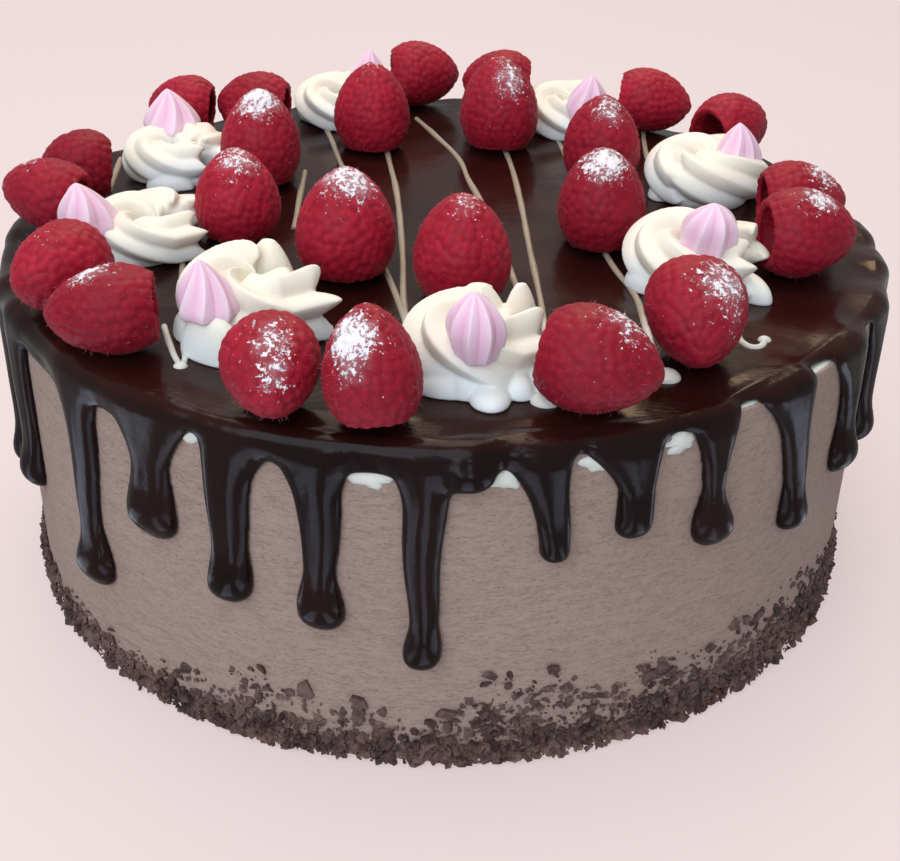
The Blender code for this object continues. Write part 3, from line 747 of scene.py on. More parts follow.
def drip_halves(path, tip_path, stem, drop, left, right):
    """Half widths to the left and right along a drip: a drop at the tip, a stem, a spread root."""
    from_tip = tip_path - path
    neck = np.clip((from_tip - 0.55 * drop) / (0.95 * drop), 0, 1)
    neck = neck * neck * (3 - 2 * neck)
    half = (drop + (stem - drop) * neck) / 2
    root_end = side_start - FLARE_TOP + FLARE_LENGTH
    root = np.clip((root_end - path) / FLARE_LENGTH, 0, 1.15) ** 2
    neck_path = tip_path - 1.5 * drop
    taper = np.clip((neck_path - path) / (neck_path - side_start + FLARE_TOP), 0, 1.1)
    spread = 0.36 * taper + 0.64 * root
    return half + left * spread, half + right * spread


for number, (angle, tip, stem, drop, left, right, root_aside, tip_aside) in enumerate(DRIPS):
    turn = (ganache_angles - radians(angle) + pi) % (2 * pi) - pi
    near = np.flatnonzero(np.abs(turn) < DRIP_NEAR)
    tip_path = side_start - tip
    left_half, right_half = drip_halves(path, tip_path, stem, drop, left, right)
    down = np.clip(path / tip_path, 0, 1)
    sway = DRIP_SWAY * np.sin(path / SWAY_LENGTH + 2 * number)
    middle = root_aside + (tip_aside - root_aside) * down + sway
    aside = turn[near][:, None, None] * CAKE_RADIUS - middle
    side = np.where(aside < 0, aside / left_half, aside / right_half)
    ridge = DRIP_RIDGE * np.cos(2 * pi * 0.8 * side + number)
    ridge = ridge + DRIP_UNEVEN * relief(aside * 160, path, shoulder_waves)
    ridge = ridge * np.clip((tip_path - path - 0.4 * drop) / RIDGES_EASE, 0, 1)
    to_tip = np.maximum(path - (tip_path - drop / 2), 0) / (drop / 2)
    from_top = np.maximum(-path - ROOT_BACK, 0) / ROOT_LENGTH
    sunk = ROOTS_SUNK if FRONT_FROM < angle < FRONT_TO else ROOTS_SUNK_ASIDE
    sunk = sunk * np.clip((SUNK_TO - path) / SUNK_OVER, 0, 1)
    heavy = hill(path, tip_path - 0.55 * drop, DROP_LENGTH) * min(1.25, drop / DROP_USUAL)
    depth = STEM_DEPTH - sunk + (DROP_DEPTH - STEM_DEPTH) * heavy
    depth = depth + ridge * np.clip(path / 0.004 + 1, 0, 1)
    across = np.abs(side) ** DRIP_ROUNDNESS + np.maximum(proud / depth, 0) ** DRIP_ROUNDNESS
    along = to_tip**DRIP_ROUNDNESS + from_top**DRIP_ROUNDNESS
    drip_field = DRIP_FIELD * (1 - (across + along) ** (1 / DRIP_ROUNDNESS))
    ganache_field[near] = meld(ganache_field[near], drip_field, MELD)

ganache_field = np.minimum(ganache_field, proud - STAND_CLEAR)
points, quads, cells = surface_nets(ganache_field)
angle = 2 * pi * points[:, 0] / GANACHE_COLUMNS
radius = cake_radius(angle) + GANACHE_IN + step_out * points[:, 1]
skin_parts = [polar(radius, angle, GANACHE_LOW + GANACHE_UP * points[:, 2])]
# The cells come sorted by column and then by height, so the last one that a column writes is its top.
inner = np.flatnonzero(cells[:, 1] == 0)
top_loop = np.zeros(GANACHE_COLUMNS, int)
top_loop[cells[inner, 0]] = inner
under_loop = np.zeros(GANACHE_COLUMNS, int)
under_loop[cells[inner[::-1], 0]] = inner[::-1]

faces = [quads]
total_points = len(points)
loop = top_loop
for radius, count in LID_RINGS:
    ring_points = polar(radius, angles_round(count) + pi / count, LID_UNDER + LID_THICK)
    ring_points[:, 2] += top_swell(ring_points[:, 0], ring_points[:, 1])
    skin_parts.append(ring_points)
    ring = total_points + np.arange(count)
    total_points += count
    following = np.roll(ring, -1)
    if len(loop) == count:
        faces.append(np.stack([loop, np.roll(loop, -1), following, ring], -1))
    else:
        faces.append(np.stack([loop[0::2], loop[1::2], ring], -1))
        faces.append(np.stack([loop[1::2], np.roll(loop, -2)[0::2], following, ring], -1))
    loop = ring
skin_parts.append(np.array([[0, 0, LID_UNDER + LID_THICK], [0, 0, LID_UNDER + STAND_CLEAR]]))
faces.append(np.stack([loop, np.roll(loop, -1), np.full(len(loop), total_points)], -1))
under_middle = np.full(len(under_loop), total_points + 1)
faces.append(np.stack([under_loop, np.roll(under_loop, 1), under_middle], -1))

# Where the skin of the ganache crinkled as it set: place, half width, half depth.
CRINKLES = (
    (0.0160, -0.1135, 0.0105, 0.0036), (-0.0040, -0.1110, 0.0042, 0.0034),
    (0.0480, -0.1000, 0.0090, 0.0050), (0.0270, -0.1120, 0.0060, 0.0030),
    (-0.0600, -0.0990, 0.0060, 0.0030), (0.0720, -0.0850, 0.0060, 0.0040),
)
CRINKLE_DEPTH = 1.6
glaze, glaze_shader, place = new_finish("dark_ganache", Specular_IOR_Level=0.16, IOR=1.48)
clouds = place.noise(34).between(0.35, 0.65)
across, deep, height = (place.axis(number) for number in range(3))
# Painted shade: the drips and the lip's side get a darker, duller colour than the lid, as the steep sides
# take less light than the top.
shaded_drips = clouds.tint(rgb(0.0095, 0.0036, 0.0036), rgb(0.0175, 0.0066, 0.0058))
on_lid = clouds.tint(rgb(0.0160, 0.0036, 0.0031), rgb(0.0260, 0.0068, 0.0052))
height.between(0.0856, 0.0870).tint(shaded_drips, on_lid).feed(glaze_shader, "Base Color")
(0.15 + 0.12 * place.noise(60).between(0.35, 0.7)).feed(glaze_shader, "Roughness")
crinkled = 0.0
for x, y, half_width, half_depth in CRINKLES:
    off_x, off_y = (across - x) * (1 / half_width), (deep - y) * (1 / half_depth)
    crinkled = (1.3 - off_x * off_x - off_y * off_y).between(0.0, 1.0) + crinkled
crinkled = crinkled * height.between(0.0848, 0.0862)
crinkles = place.noise(900, 3, 0.6, (0.45, 1.5, 1.0)) * crinkled
ripple = place.noise(170, 2) + 0.22 * place.noise(900, 2)
place.bump(ripple + CRINKLE_DEPTH * crinkles, 0.00014, 0.8).feed(glaze_shader, "Normal")
ganache = new_piece("ganache_lid_and_drips", np.concatenate(skin_parts), faces, glaze)
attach(ganache, "root")
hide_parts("ganache")

# ---------------------------------------------------------------------------------------------
# The white cream between the cake and the ganache: a thin even sheet, pushed out in small soft
# lumps where the ganache's edge rode up.

# Angle, height, half width and half height of each lump.
CREAM_LUMPS = (
    (-118.2, 0.0810, 0.0042, 0.0026), (-97.4, 0.0782, 0.0058, 0.0024), (-83.3, 0.0790, 0.0042, 0.0034),
    (-73.6, 0.0806, 0.0040, 0.0030), (-64.2, 0.0812, 0.0042, 0.0026),
)
# The sheet's section: how far it stands out from the side, and at what height.
SHEET_SECTION = (
    (-0.0018, 0.0822), (-0.0009, 0.0824), (-0.0007, 0.0835), (-0.0009, 0.0846), (-0.0018, 0.0848),
)
SHEET_COLUMNS = 240
LUMP_SEED = 60
LUMP_COLUMNS = 28
LUMP_RINGS = 12
LUMP_IN, LUMP_THICK = 0.0012, 0.0021


def lofts_together(lofts):
    """Points and faces of several closed lofts as one mesh."""
    points, faces = np.zeros((0, 3)), []
    for rings in lofts:
        part_points, part_faces = loft(rings)
        faces += [group + len(points) for group in part_faces]
        points = np.concatenate([points, part_points])
    return points, faces


cream, cream_shader, place = new_finish(
    "white_cream", Subsurface_Weight=0.25, Subsurface_Scale=0.004, Roughness=0.5
)
place.noise(180).tint(rgb(0.80, 0.77, 0.70), rgb(0.90, 0.89, 0.84)).feed(cream_shader, "Base Color")
place.bump(place.noise(500), 0.00025).feed(cream_shader, "Normal")
sheet_angles = angles_round(SHEET_COLUMNS)
sheet_radius = cake_radius(sheet_angles)
cream_lofts = [[polar(sheet_radius + stand_off, sheet_angles, level) for stand_off, level in SHEET_SECTION]]
for number, (angle, level, half_width, half_height) in enumerate(CREAM_LUMPS):
    rng = np.random.default_rng(LUMP_SEED + number)
    turns = angles_round(LUMP_COLUMNS)
    ragged = 1 + sum(rng.uniform(0.03, 0.13) * np.cos(k * turns + rng.uniform(0, 6.28)) for k in range(2, 9))
    lump = []
    for share in np.linspace(0.02, 0.98, LUMP_RINGS):
        bow = sin(pi * share) ** 0.6
        across = half_width * bow * ragged * np.cos(turns)
        upward = half_height * bow * ragged * np.sin(turns)
        out = cake_radius(radians(angle)) - LUMP_IN + LUMP_THICK * share
        lump.append(polar(out, radians(angle) + across / CAKE_RADIUS, level + upward))
    cream_lofts.append(lump)
cream_sheet = new_piece("cream_layer_edge", *lofts_together(cream_lofts), cream)
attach(cream_sheet, "root")
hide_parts("cream_layer")

# ---------------------------------------------------------------------------------------------
# The drizzle: white chocolate trailed in long zigzags over the set ganache, from a bag with a cut
# tip, so each line is a low round cord that thickens where the hand slowed down to turn.
GANACHE_TOP = 0.0877
DRIZZLE_WIDTH = 0.0019
DRIZZLE_HEIGHT = 0.0009
# The places that each trail passes over, from the back to the front.
DRIZZLE = (
    (
        (-0.0655, -0.0660), (-0.0622, -0.0760), (-0.0590, -0.0840), (-0.0582, -0.0852),
        (-0.0578, -0.0838), (-0.0590, -0.0770), (-0.0605, -0.0700),
    ),
    ((-0.0690, -0.0200), (-0.0665, -0.0360), (-0.0640, -0.0500)),
    ((-0.1000, 0.0480), (-0.0985, 0.0330), (-0.0975, 0.0200)),
    ((-0.0430, 0.0400), (-0.0424, 0.0170), (-0.0415, -0.0060)),
    (
        (-0.0415, 0.0860), (-0.0375, 0.0700), (-0.0337, 0.0516), (-0.0225, 0.0000),
        (-0.0185, -0.0190), (-0.0135, -0.0410), (-0.0092, -0.0620), (-0.0080, -0.0680),
    ),
    (
        (-0.0200, 0.0660), (-0.0180, 0.0490), (-0.0150, 0.0250), (-0.0118, -0.0180),
        (-0.0098, -0.0560), (-0.0086, -0.0660),
    ),
    (
        (-0.0110, 0.0930), (-0.0046, 0.0763), (0.0032, 0.0537), (0.0061, 0.0352), (0.0089, 0.0205),
        (0.0125, -0.0050), (0.0168, -0.0350), (0.0190, -0.0560), (0.0208, -0.0820), (0.0212, -0.0975),
    ),
    (
        (0.0160, 0.0760), (0.0190, 0.0500), (0.0206, 0.0236), (0.0219, -0.0170),
        (0.0232, -0.0560), (0.0228, -0.0820), (0.0216, -0.0975),
    ),
    ((0.0337, 0.0827), (0.0358, 0.0649), (0.0385, 0.0300)),
    (
        (0.0400, -0.0050), (0.0430, -0.0270), (0.0467, -0.0452), (0.0471, -0.0608),
        (0.0478, -0.0800), (0.0486, -0.0868),
    ),
    ((0.0640, 0.0880), (0.0625, 0.0700), (0.0612, 0.0450)),
    (
        (0.0672, -0.0560), (0.0682, -0.0640), (0.0688, -0.0697), (0.0706, -0.0716),
        (0.0728, -0.0706), (0.0738, -0.0680),
    ),
)
# Drops where a trail stopped or turned: place, half width, height.
DRIZZLE_DROPS = (
    (0.0215, -0.0985, 0.0034, 0.0024), (0.0486, -0.0868, 0.0034, 0.0024),
    (-0.0582, -0.0858, 0.0017, 0.0014), (0.0740, -0.0676, 0.0017, 0.0014),
)
TRAIL_SUNK = 0.0002
TRAIL_STEP = 0.0008
TRAIL_SIDES = 12
DROP_POINTS, DROP_RINGS = 24, 9
DROP_SUNK = 0.0004
DROP_DEEP = 0.9

white, white_shader, place = new_finish(
    "white_drizzle", Subsurface_Weight=0.2, Subsurface_Scale=0.003, Roughness=0.42
)
thin = place.noise(300).tint(rgb(0.34, 0.275, 0.205), rgb(0.41, 0.34, 0.262))
to_front = -1.0 * place.axis(1)
to_front.between(0.054, 0.070).tint(thin, rgb(0.72, 0.70, 0.66)).feed(white_shader, "Base Color")
place.bump(place.noise(700, 2), 0.00018).feed(white_shader, "Normal")

trails = bpy.data.curves.new("drizzle_trails", "CURVE")
trails.dimensions = "3D"
for knots in DRIZZLE:
    spline = trails.splines.new("BEZIER")
    spline.bezier_points.add(len(knots) - 1)
    for knot, (x, y) in zip(spline.bezier_points, knots):
        knot.co = (x, y, GANACHE_TOP - TRAIL_SUNK)
        knot.handle_left_type = knot.handle_right_type = "AUTO"
trail = bpy.data.objects.new("drizzle_trails", trails)
bpy.context.scene.collection.objects.link(trail)

cord_tree = Grower("trailed_cords", {"Width": "Float", "Height": "Float"})
sampling = {"Curve": cord_tree.given("Geometry"), "Length": TRAIL_STEP}
sampled = cord_tree.add("GeometryNodeResampleCurve", {"mode": "LENGTH"}, sampling)
wander = cord_tree.add("ShaderNodeTexNoise", {"noise_dimensions": "3D"}, {"Scale": 55.0, "Detail": 1.0})
thickness = {"Value": wander, "From Min": 0.3, "From Max": 0.7, "To Min": 0.84, "To Max": 1.12}
uneven = cord_tree.add("ShaderNodeMapRange", {}, thickness)
outline = cord_tree.add("GeometryNodeCurvePrimitiveCircle", {}, {"Resolution": TRAIL_SIDES, "Radius": 0.5})
section = {0: cord_tree.given("Height"), 1: cord_tree.given("Width"), 2: 1.0}
across = cord_tree.add("ShaderNodeCombineXYZ", {}, section)
flattened = cord_tree.add("GeometryNodeTransform", {}, {"Geometry": outline, "Scale": across})
sweep = {"Curve": sampled, "Profile Curve": flattened, "Fill Caps": True, "Scale": uneven}
solid = cord_tree.add("GeometryNodeCurveToMesh", {}, sweep)
rounded = cord_tree.add("GeometryNodeSetShadeSmooth", {}, {"Geometry": solid})
cord_tree.finish(rounded, white)
drizzle_values = {"Width": DRIZZLE_WIDTH, "Height": 2 * DRIZZLE_HEIGHT}
drizzle = grown("white_drizzle", trail, cord_tree, drizzle_values, white)
turns = angles_round(DROP_POINTS)
drops = []
for number, (x, y, wide, tall) in enumerate(DRIZZLE_DROPS):
    rings = []
    for up in np.linspace(0, 0.98, DROP_RINGS):
        reach = wide * (1 - up**2) ** 0.5
        ring = polar(reach, turns, GANACHE_TOP - DROP_SUNK + tall * up)
        rings.append(ring * (1, DROP_DEEP, 1) + (x, y, 0))
    drops.append(new_piece(f"drop_{number}", *loft(rings), white))
join(drizzle, drops)
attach(drizzle, "root")

# ---------------------------------------------------------------------------------------------
# The rosettes: stiff cream piped through a wide star tip, most of the way round a small hollow and
# off to the side. Each tooth of the tip leaves a sharp crest. Where the tip starts and where it pulls
# away, every crest ends in its own rounded petal, and the foot spreads in soft scallops.

# Node number, growth in height over the solid, step to the back, depth as a share of the width,
# then the heading that the piping leaves in, share of a turn, length of the straight end, the angle
# of the first tooth there, reach of the valleys, flare of the petals and their length.
ROSETTES = (
    (1, 1.06, 0.0005, 0.94, 36, 0.60, 0.0078, 20, 0.62, 0.22, 1.0),
    (2, 1.08, 0.0046, 0.80, 34, 0.66, 0.0076, 20, 0.62, 0.24, 1.0),
    (3, 1.00, 0.0, 1.00, 36, 0.76, 0.0058, 25, 0.72, 0.10, 0.7),
    (4, 1.00, 0.0, 1.00, 15, 0.86, 0.0050, 8, 0.80, 0.06, 0.4),
    (5, 1.00, 0.0, 1.00, 25, 0.80, 0.0050, 30, 0.68, 0.12, 0.7),
    (6, 1.00, 0.0, 1.00, 100, 0.84, 0.0050, 10, 0.68, 0.12, 0.7),
    (7, 1.05, 0.0, 1.00, -52, 0.98, 0.0030, 24, 0.80, 0.04, 0.3),
    (8, 1.05, 0.0, 1.00, 4, 0.76, 0.0074, 30, 0.74, 0.12, 0.9),
)
# How far each tooth's petal reaches beyond the rope's end, and before its start, for every rosette.
PETALS_AFTER = (0.0030, 0.0038, 0.0024, 0.0000, 0.0000, 0.0020)
PETALS_BEFORE = (0.0010, 0.0026, 0.0034, 0.0012, -0.0010, 0.0000)
# Folds and scallops: rosette, place from its middle, half length, half width, height, heading, and
# bluntness of the top.
SCALLOPS = (
    (1, -0.0075, -0.0172, 0.0088, 0.0038, 0.0112, -30, 2.2),
    (1, 0.0040, -0.0150, 0.0068, 0.0036, 0.0048, 10, 2.2),
    (1, -0.0150, -0.0060, 0.0052, 0.0034, 0.0064, -70, 2.2),
    (1, 0.0022, 0.0098, 0.0086, 0.0056, 0.0180, -12, 1.0),
    (2, 0.0026, -0.0078, 0.0046, 0.0058, 0.0036, 8, 2.4),
    (2, -0.0072, -0.0040, 0.0072, 0.0040, 0.0050, -14, 2.2),
    (2, 0.0092, -0.0048, 0.0034, 0.0036, 0.0050, 12, 2.2),
    (2, 0.0136, -0.0030, 0.0038, 0.0030, 0.0056, 40, 2.2),
    (2, -0.0026, -0.0052, 0.0040, 0.0034, 0.0056, 0, 2.2),
    (2, 0.0165, 0.0012, 0.0040, 0.0030, 0.0044, 60, 2.2),
    (2, 0.0092, 0.0100, 0.0066, 0.0040, 0.0200, 15, 0.9),
    (2, 0.0000, 0.0100, 0.0090, 0.0056, 0.0196, 0, 1.5),
    (3, -0.0060, -0.0120, 0.0064, 0.0034, 0.0046, -20, 2.2),
    (3, 0.0020, 0.0095, 0.0060, 0.0046, 0.0135, 0, 1.4),
    (4, 0.0000, -0.0140, 0.0070, 0.0030, 0.0046, 0, 2.2),
    (7, -0.0130, -0.0040, 0.0046, 0.0038, 0.0056, 80, 2.2),
    (8, -0.0130, -0.0070, 0.0060, 0.0036, 0.0060, -50, 2.2),
    (8, 0.0118, -0.0098, 0.0080, 0.0040, 0.0062, -50, 2.0),
)
TEETH = 6
TOOTH_POINTS = 48
ROPE_STEP = 0.0007
ROPE_OF_HEIGHT = 0.58
CORE_BACK, CORE_SWELL = 0.0030, 0.0035
PETAL_ROUND = 0.0038
FLARE_REACH = 0.0095
PETAL_PUSH = 0.0016
SCALLOP_POINTS, SCALLOP_RINGS = 24, 12
CREAM_GRAIN = 0.00040
ROSETTE_SUNK = 0.0003

ivory, ivory_shader, place = new_finish(
    "ivory_cream",
    Subsurface_Weight=0.30,
    Subsurface_Scale=0.003,
    Subsurface_Radius=(1.0, 0.75, 0.5),
    Specular_IOR_Level=0.3,
    Roughness=0.46,
)
up = place.axis(2)
# Painted light colour: bluish white towards the foot and warm ivory higher up, as cool and warm light fall
# on the cream, mixed with random tone.
tint = (0.55 * place.noise(45, 2) + 0.45 * up.between(0.088, 0.104)).between(0.25, 0.62)
tint.tint(rgb(0.87, 0.92, 0.93), rgb(0.89, 0.845, 0.735)).feed(ivory_shader, "Base Color")
place.bump(place.noise(260, 3, 0.45), 0.00012).feed(ivory_shader, "Normal")


def aimed(x, y, heading):
    """A place swung about the upright axis by a heading in degrees."""
    aim = radians(heading)
    return x * cos(aim) - y * sin(aim), x * sin(aim) + y * cos(aim)


def rosette(span, height, heading, share_of_turn, tail, first_tooth, valley_reach, flare_out, petal):
    """Lofts of a star-shaped rope, one for each tooth, each closed by a petal at both ends.

    The tip doesn't turn with the path, so each tooth's crest wanders from the rope's inner side
    over its top to the outer side."""
    rope = ROPE_OF_HEIGHT * height
    loop = span / 2 - 0.90 * rope
    before = int(max(PETALS_BEFORE) / ROPE_STEP) + 1
    arc = int(2 * pi * share_of_turn * loop / ROPE_STEP)
    after = int((tail + max(PETALS_AFTER)) / ROPE_STEP) + 1
    travel = ROPE_STEP * np.arange(-before, arc + after + 1)
    ends = ROPE_STEP * arc
    turn = np.clip(travel - ends, -ends, 0) / loop
    beyond = np.maximum(travel - ends, 0) + np.minimum(travel, 0)
    along = np.stack([np.cos(turn), np.sin(turn)], -1)
    x = loop * np.sin(turn) + beyond * along[:, 0]
    y = -loop * np.cos(turn) + beyond * along[:, 1]
    done = np.clip(travel / (ends + tail), 0, 1)
    size = rope * (1.0 - 0.04 * done**2)
    middle = rope * (0.74 - 0.06 * done + 0.03 * np.sin(5 * done + 1))
    start = 0.30 + 0.70 * np.clip((travel + CORE_BACK) / CORE_SWELL, 0, 1)
    core = start * (0.30 + 0.70 * np.clip((ends + tail + CORE_SWELL - travel) / CORE_SWELL, 0, 1))
    share = np.linspace(-1, 1, TOOTH_POINTS, endpoint=False) + 1 / TOOTH_POINTS
    swing = pi * np.sign(share) * np.abs(share) ** 1.7
    tooth = np.clip(1 - np.abs(swing) / (pi / TEETH), 0, 1) ** 0.80
    hidden = 1 - 0.30 * np.clip((np.abs(swing) - pi / TEETH) / 0.6, 0, 1)
    lofts = []
    for number in range(TEETH):
        rope_from = before * ROPE_STEP - petal * PETALS_BEFORE[number]
        rope_to = before * ROPE_STEP + ends + tail + petal * PETALS_AFTER[number]
        first, last = int(round(rope_from / ROPE_STEP)), int(round(rope_to / ROPE_STEP))
        rings = []
        for step in range(first, last + 1):
            to_end, to_start = (last - step) * ROPE_STEP, (step - first) * ROPE_STEP
            nearest = min(to_end, to_start)
            close = max(1 - max(1 - nearest / PETAL_ROUND, 0) ** 2.4, 0.0016) ** 0.5
            flare = max(1 - nearest / FLARE_REACH, 0) ** 1.5
            angle = radians(first_tooth + 360 / TEETH * (number - 1)) - turn[step]
            valley = valley_reach * core[step]
            star = (valley + (1 + flare_out * flare - valley) * tooth) * hidden
            reach = size[step] * star
            hub_across, hub_up = 0.78 * size[step] * np.cos(angle), 0.70 * size[step] * np.sin(angle)
            across = hub_across + (reach * np.cos(angle + swing) - hub_across) * close
            upright = hub_up + (0.94 * reach * np.sin(angle + swing) - hub_up) * close
            onward = (1 if to_end < to_start else -1) * PETAL_PUSH * flare * tooth
            px = x[step] + along[step, 1] * across + along[step, 0] * onward
            py = y[step] - along[step, 0] * across + along[step, 1] * onward
            pz = middle[step] + upright
            rings.append(np.stack([px, py, np.maximum(pz, 0.0002 * step / last)], -1))
        lofts.append(np.array(rings))
    for rings in lofts:
        rings[..., 0], rings[..., 1] = aimed(rings[..., 0], rings[..., 1], heading)
    return lofts


def scallop(x, y, half_length, half_width, height, heading, blunt):
    """A soft pad of cream at the foot, as rings from its base to its top."""
    turns = angles_round(SCALLOP_POINTS)
    rings = []
    for rise in np.linspace(0, 0.97, SCALLOP_RINGS):
        round_off = (1 - rise**blunt) ** 0.5
        along, across = half_length * round_off * np.cos(turns), half_width * round_off * np.sin(turns)
        px, py = aimed(along, across, heading)
        rings.append(np.stack([x + px, y + py, 0 * px + height * rise], -1))
    return np.array(rings)


def melted(piece, grain):
    """The outer skin of a piece made of overlapping closed parts, with its creases softened."""
    fuse = piece.modifiers.new("fuse", "REMESH")
    fuse.mode = "VOXEL"
    fuse.voxel_size = grain
    ease = piece.modifiers.new("ease", "SMOOTH")
    ease.factor = 0.5
    ease.iterations = 2
    mesh = baked(piece, piece.data.materials[0])
    mesh.shade_smooth()
    name, old = piece.name, piece.data
    piece.data = mesh
    bpy.data.meshes.remove(old)
    mesh.name = name
    return piece


for number, growth, back, depth, *shape in ROSETTES:
    low, high = (np.array(corner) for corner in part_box(f"rosette_{number}"))
    lofts = rosette(min(high[0] - low[0], high[1] - low[1]), high[2] - low[2], *shape)
    stretch = (high[2] - low[2]) * growth / max(rings[..., 2].max() for rings in lofts)
    for rings in lofts:
        rings[..., 1] = rings[..., 1] * depth + back
        rings[..., 2] *= stretch
    lofts += [scallop(*pad) for owner, *pad in SCALLOPS if owner == number]
    swirl_points, swirl_faces = lofts_together(lofts)
    swirl_points += ((low[0] + high[0]) / 2, (low[1] + high[1]) / 2, low[2] - ROSETTE_SUNK)
    swirl = melted(new_piece(f"rosette_swirl_{number}", swirl_points, swirl_faces, ivory), CREAM_GRAIN)
    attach(swirl, "root")
    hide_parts(f"rosette_{number}")

# ---------------------------------------------------------------------------------------------
# The pink stars: tinted cream pressed straight down through a fine star tip on each rosette and
# pulled up to a point. Their ribs are round, with a sharp crease between each two.

# Crests round it, share of the width at its foot, height of its widest part, fullness above it,
# growth over the solid in width and in height, steps to the right, back and down, tilt in degrees,
# heading of the tilt, and how uneven its ribs are.
STARS = (
    (7, 0.96, 0.12, 1.55, 1.06, 0.90, -0.0018, 0.0030, 0.0000, 12, 140, 0.14),
    (8, 0.70, 0.42, 2.1, 0.98, 1.00, 0.0, -0.0006, -0.0006, 3, 180, 0.05),
    (7, 0.94, 0.14, 1.8, 1.14, 0.98, 0.0, 0.0, 0.0, 12, 180, 0.14),
    (7, 0.95, 0.12, 1.5, 1.08, 0.92, 0.0, 0.0, -0.0016, 4, 150, 0.12),
    (7, 0.90, 0.20, 1.7, 1.0, 1.0, 0.0, 0.0, 0.0, 5, 0, 0.08),
    (7, 0.90, 0.20, 1.6, 1.0, 1.0, 0.0, 0.0, 0.0, 8, 0, 0.08),
    (7, 0.94, 0.20, 1.9, 1.04, 0.98, 0.0, 0.0, 0.0, 6, 100, 0.10),
    (8, 0.80, 0.38, 2.8, 1.06, 1.04, 0.0, 0.0, 0.0, 4, 300, 0.05),
)
STAR_SEED = 80
CREST_POINTS = 16
# Levels of a star's rings as shares of its height, closer together near the point.
STAR_LEVELS = (*np.linspace(0, 0.92, 40), *np.linspace(0.935, 0.995, 8))
STAR_FOLD = 0.17

pink, pink_shader, place = new_finish(
    "pink_cream",
    Subsurface_Weight=0.30,
    Subsurface_Scale=0.004,
    Subsurface_Radius=(1.0, 0.6, 0.8),
    Specular_IOR_Level=0.3,
    Roughness=0.45,
)
crest = place.mark("crest")
# Painted shade: the pink is darker in the creases between the ribs and lighter on the crests.
painted_crease_shade = (crest * 0.8 + 0.2 * place.noise(400)).between(0.05, 0.85)
painted_crease_shade.tint(rgb(0.90, 0.57, 0.75), rgb(0.95, 0.71, 0.85)).feed(pink_shader, "Base Color")
place.bump(place.noise(500), 0.00012).feed(pink_shader, "Normal")
for number, (crests, foot, belly_height, fullness, *fitting) in enumerate(STARS, start=1):
    wider, taller, right, back, down, tilt, tilt_heading, loose = fitting
    low, high = (np.array(corner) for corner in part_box(f"star_{number}"))
    span = (high - low) * (wider, wider, taller)
    rng = np.random.default_rng(STAR_SEED + number)
    turns = angles_round(crests * CREST_POINTS)
    pleat = np.abs((crests * turns / (2 * pi)) % 1 * 2 - 1)
    tooth = 0.75 * pleat + 0.25 * pleat**6
    uneven = rng.uniform(-loose, loose, crests)
    wide = 1 + np.interp(turns, angles_round(crests), uneven, period=2 * pi)
    rings, marks = [], []
    for share in STAR_LEVELS:
        if share < belly_height:
            belly = foot + (1 - foot) * sin(pi / 2 * share / belly_height)
        else:
            fall = (share - belly_height) / (1 - belly_height)
            belly = (1 - fall**fullness) ** 0.85 * 0.94 + 0.06 * (1 - fall)
        fold = STAR_FOLD * (1 + 3 * loose) * (0.65 + 0.35 * min(1, share * 3))
        reach = belly * wide * (1 - fold + fold * tooth)
        angle = turns + radians(4 + 220 * loose) * share + number
        ring = polar(reach, angle, low[2] - down + share * span[2])
        rings.append(ring * (span[0] / 2, span[1] / 2, 1))
        marks.append(tooth)
    rings = np.array(rings)
    lean = np.tan(radians(tilt)) * (rings[..., 2] - low[2])
    rings[..., 0] += (low[0] + high[0]) / 2 + right + lean * cos(radians(tilt_heading))
    rings[..., 1] += (low[1] + high[1]) / 2 + back + lean * sin(radians(tilt_heading))
    marks = {"crest": np.concatenate([np.concatenate(marks), [0.5, 0.5]])}
    star = new_piece(f"pink_star_{number}", *loft(rings), pink, marks)
    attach(star, "root")
    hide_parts(f"star_{number}")

# ---------------------------------------------------------------------------------------------
# The berries: ripe, soft and velvety, each a hollow cone of small round drupes. Most stand on
# their open end, some lie on their side, and many have a dusting of powdered sugar on top.

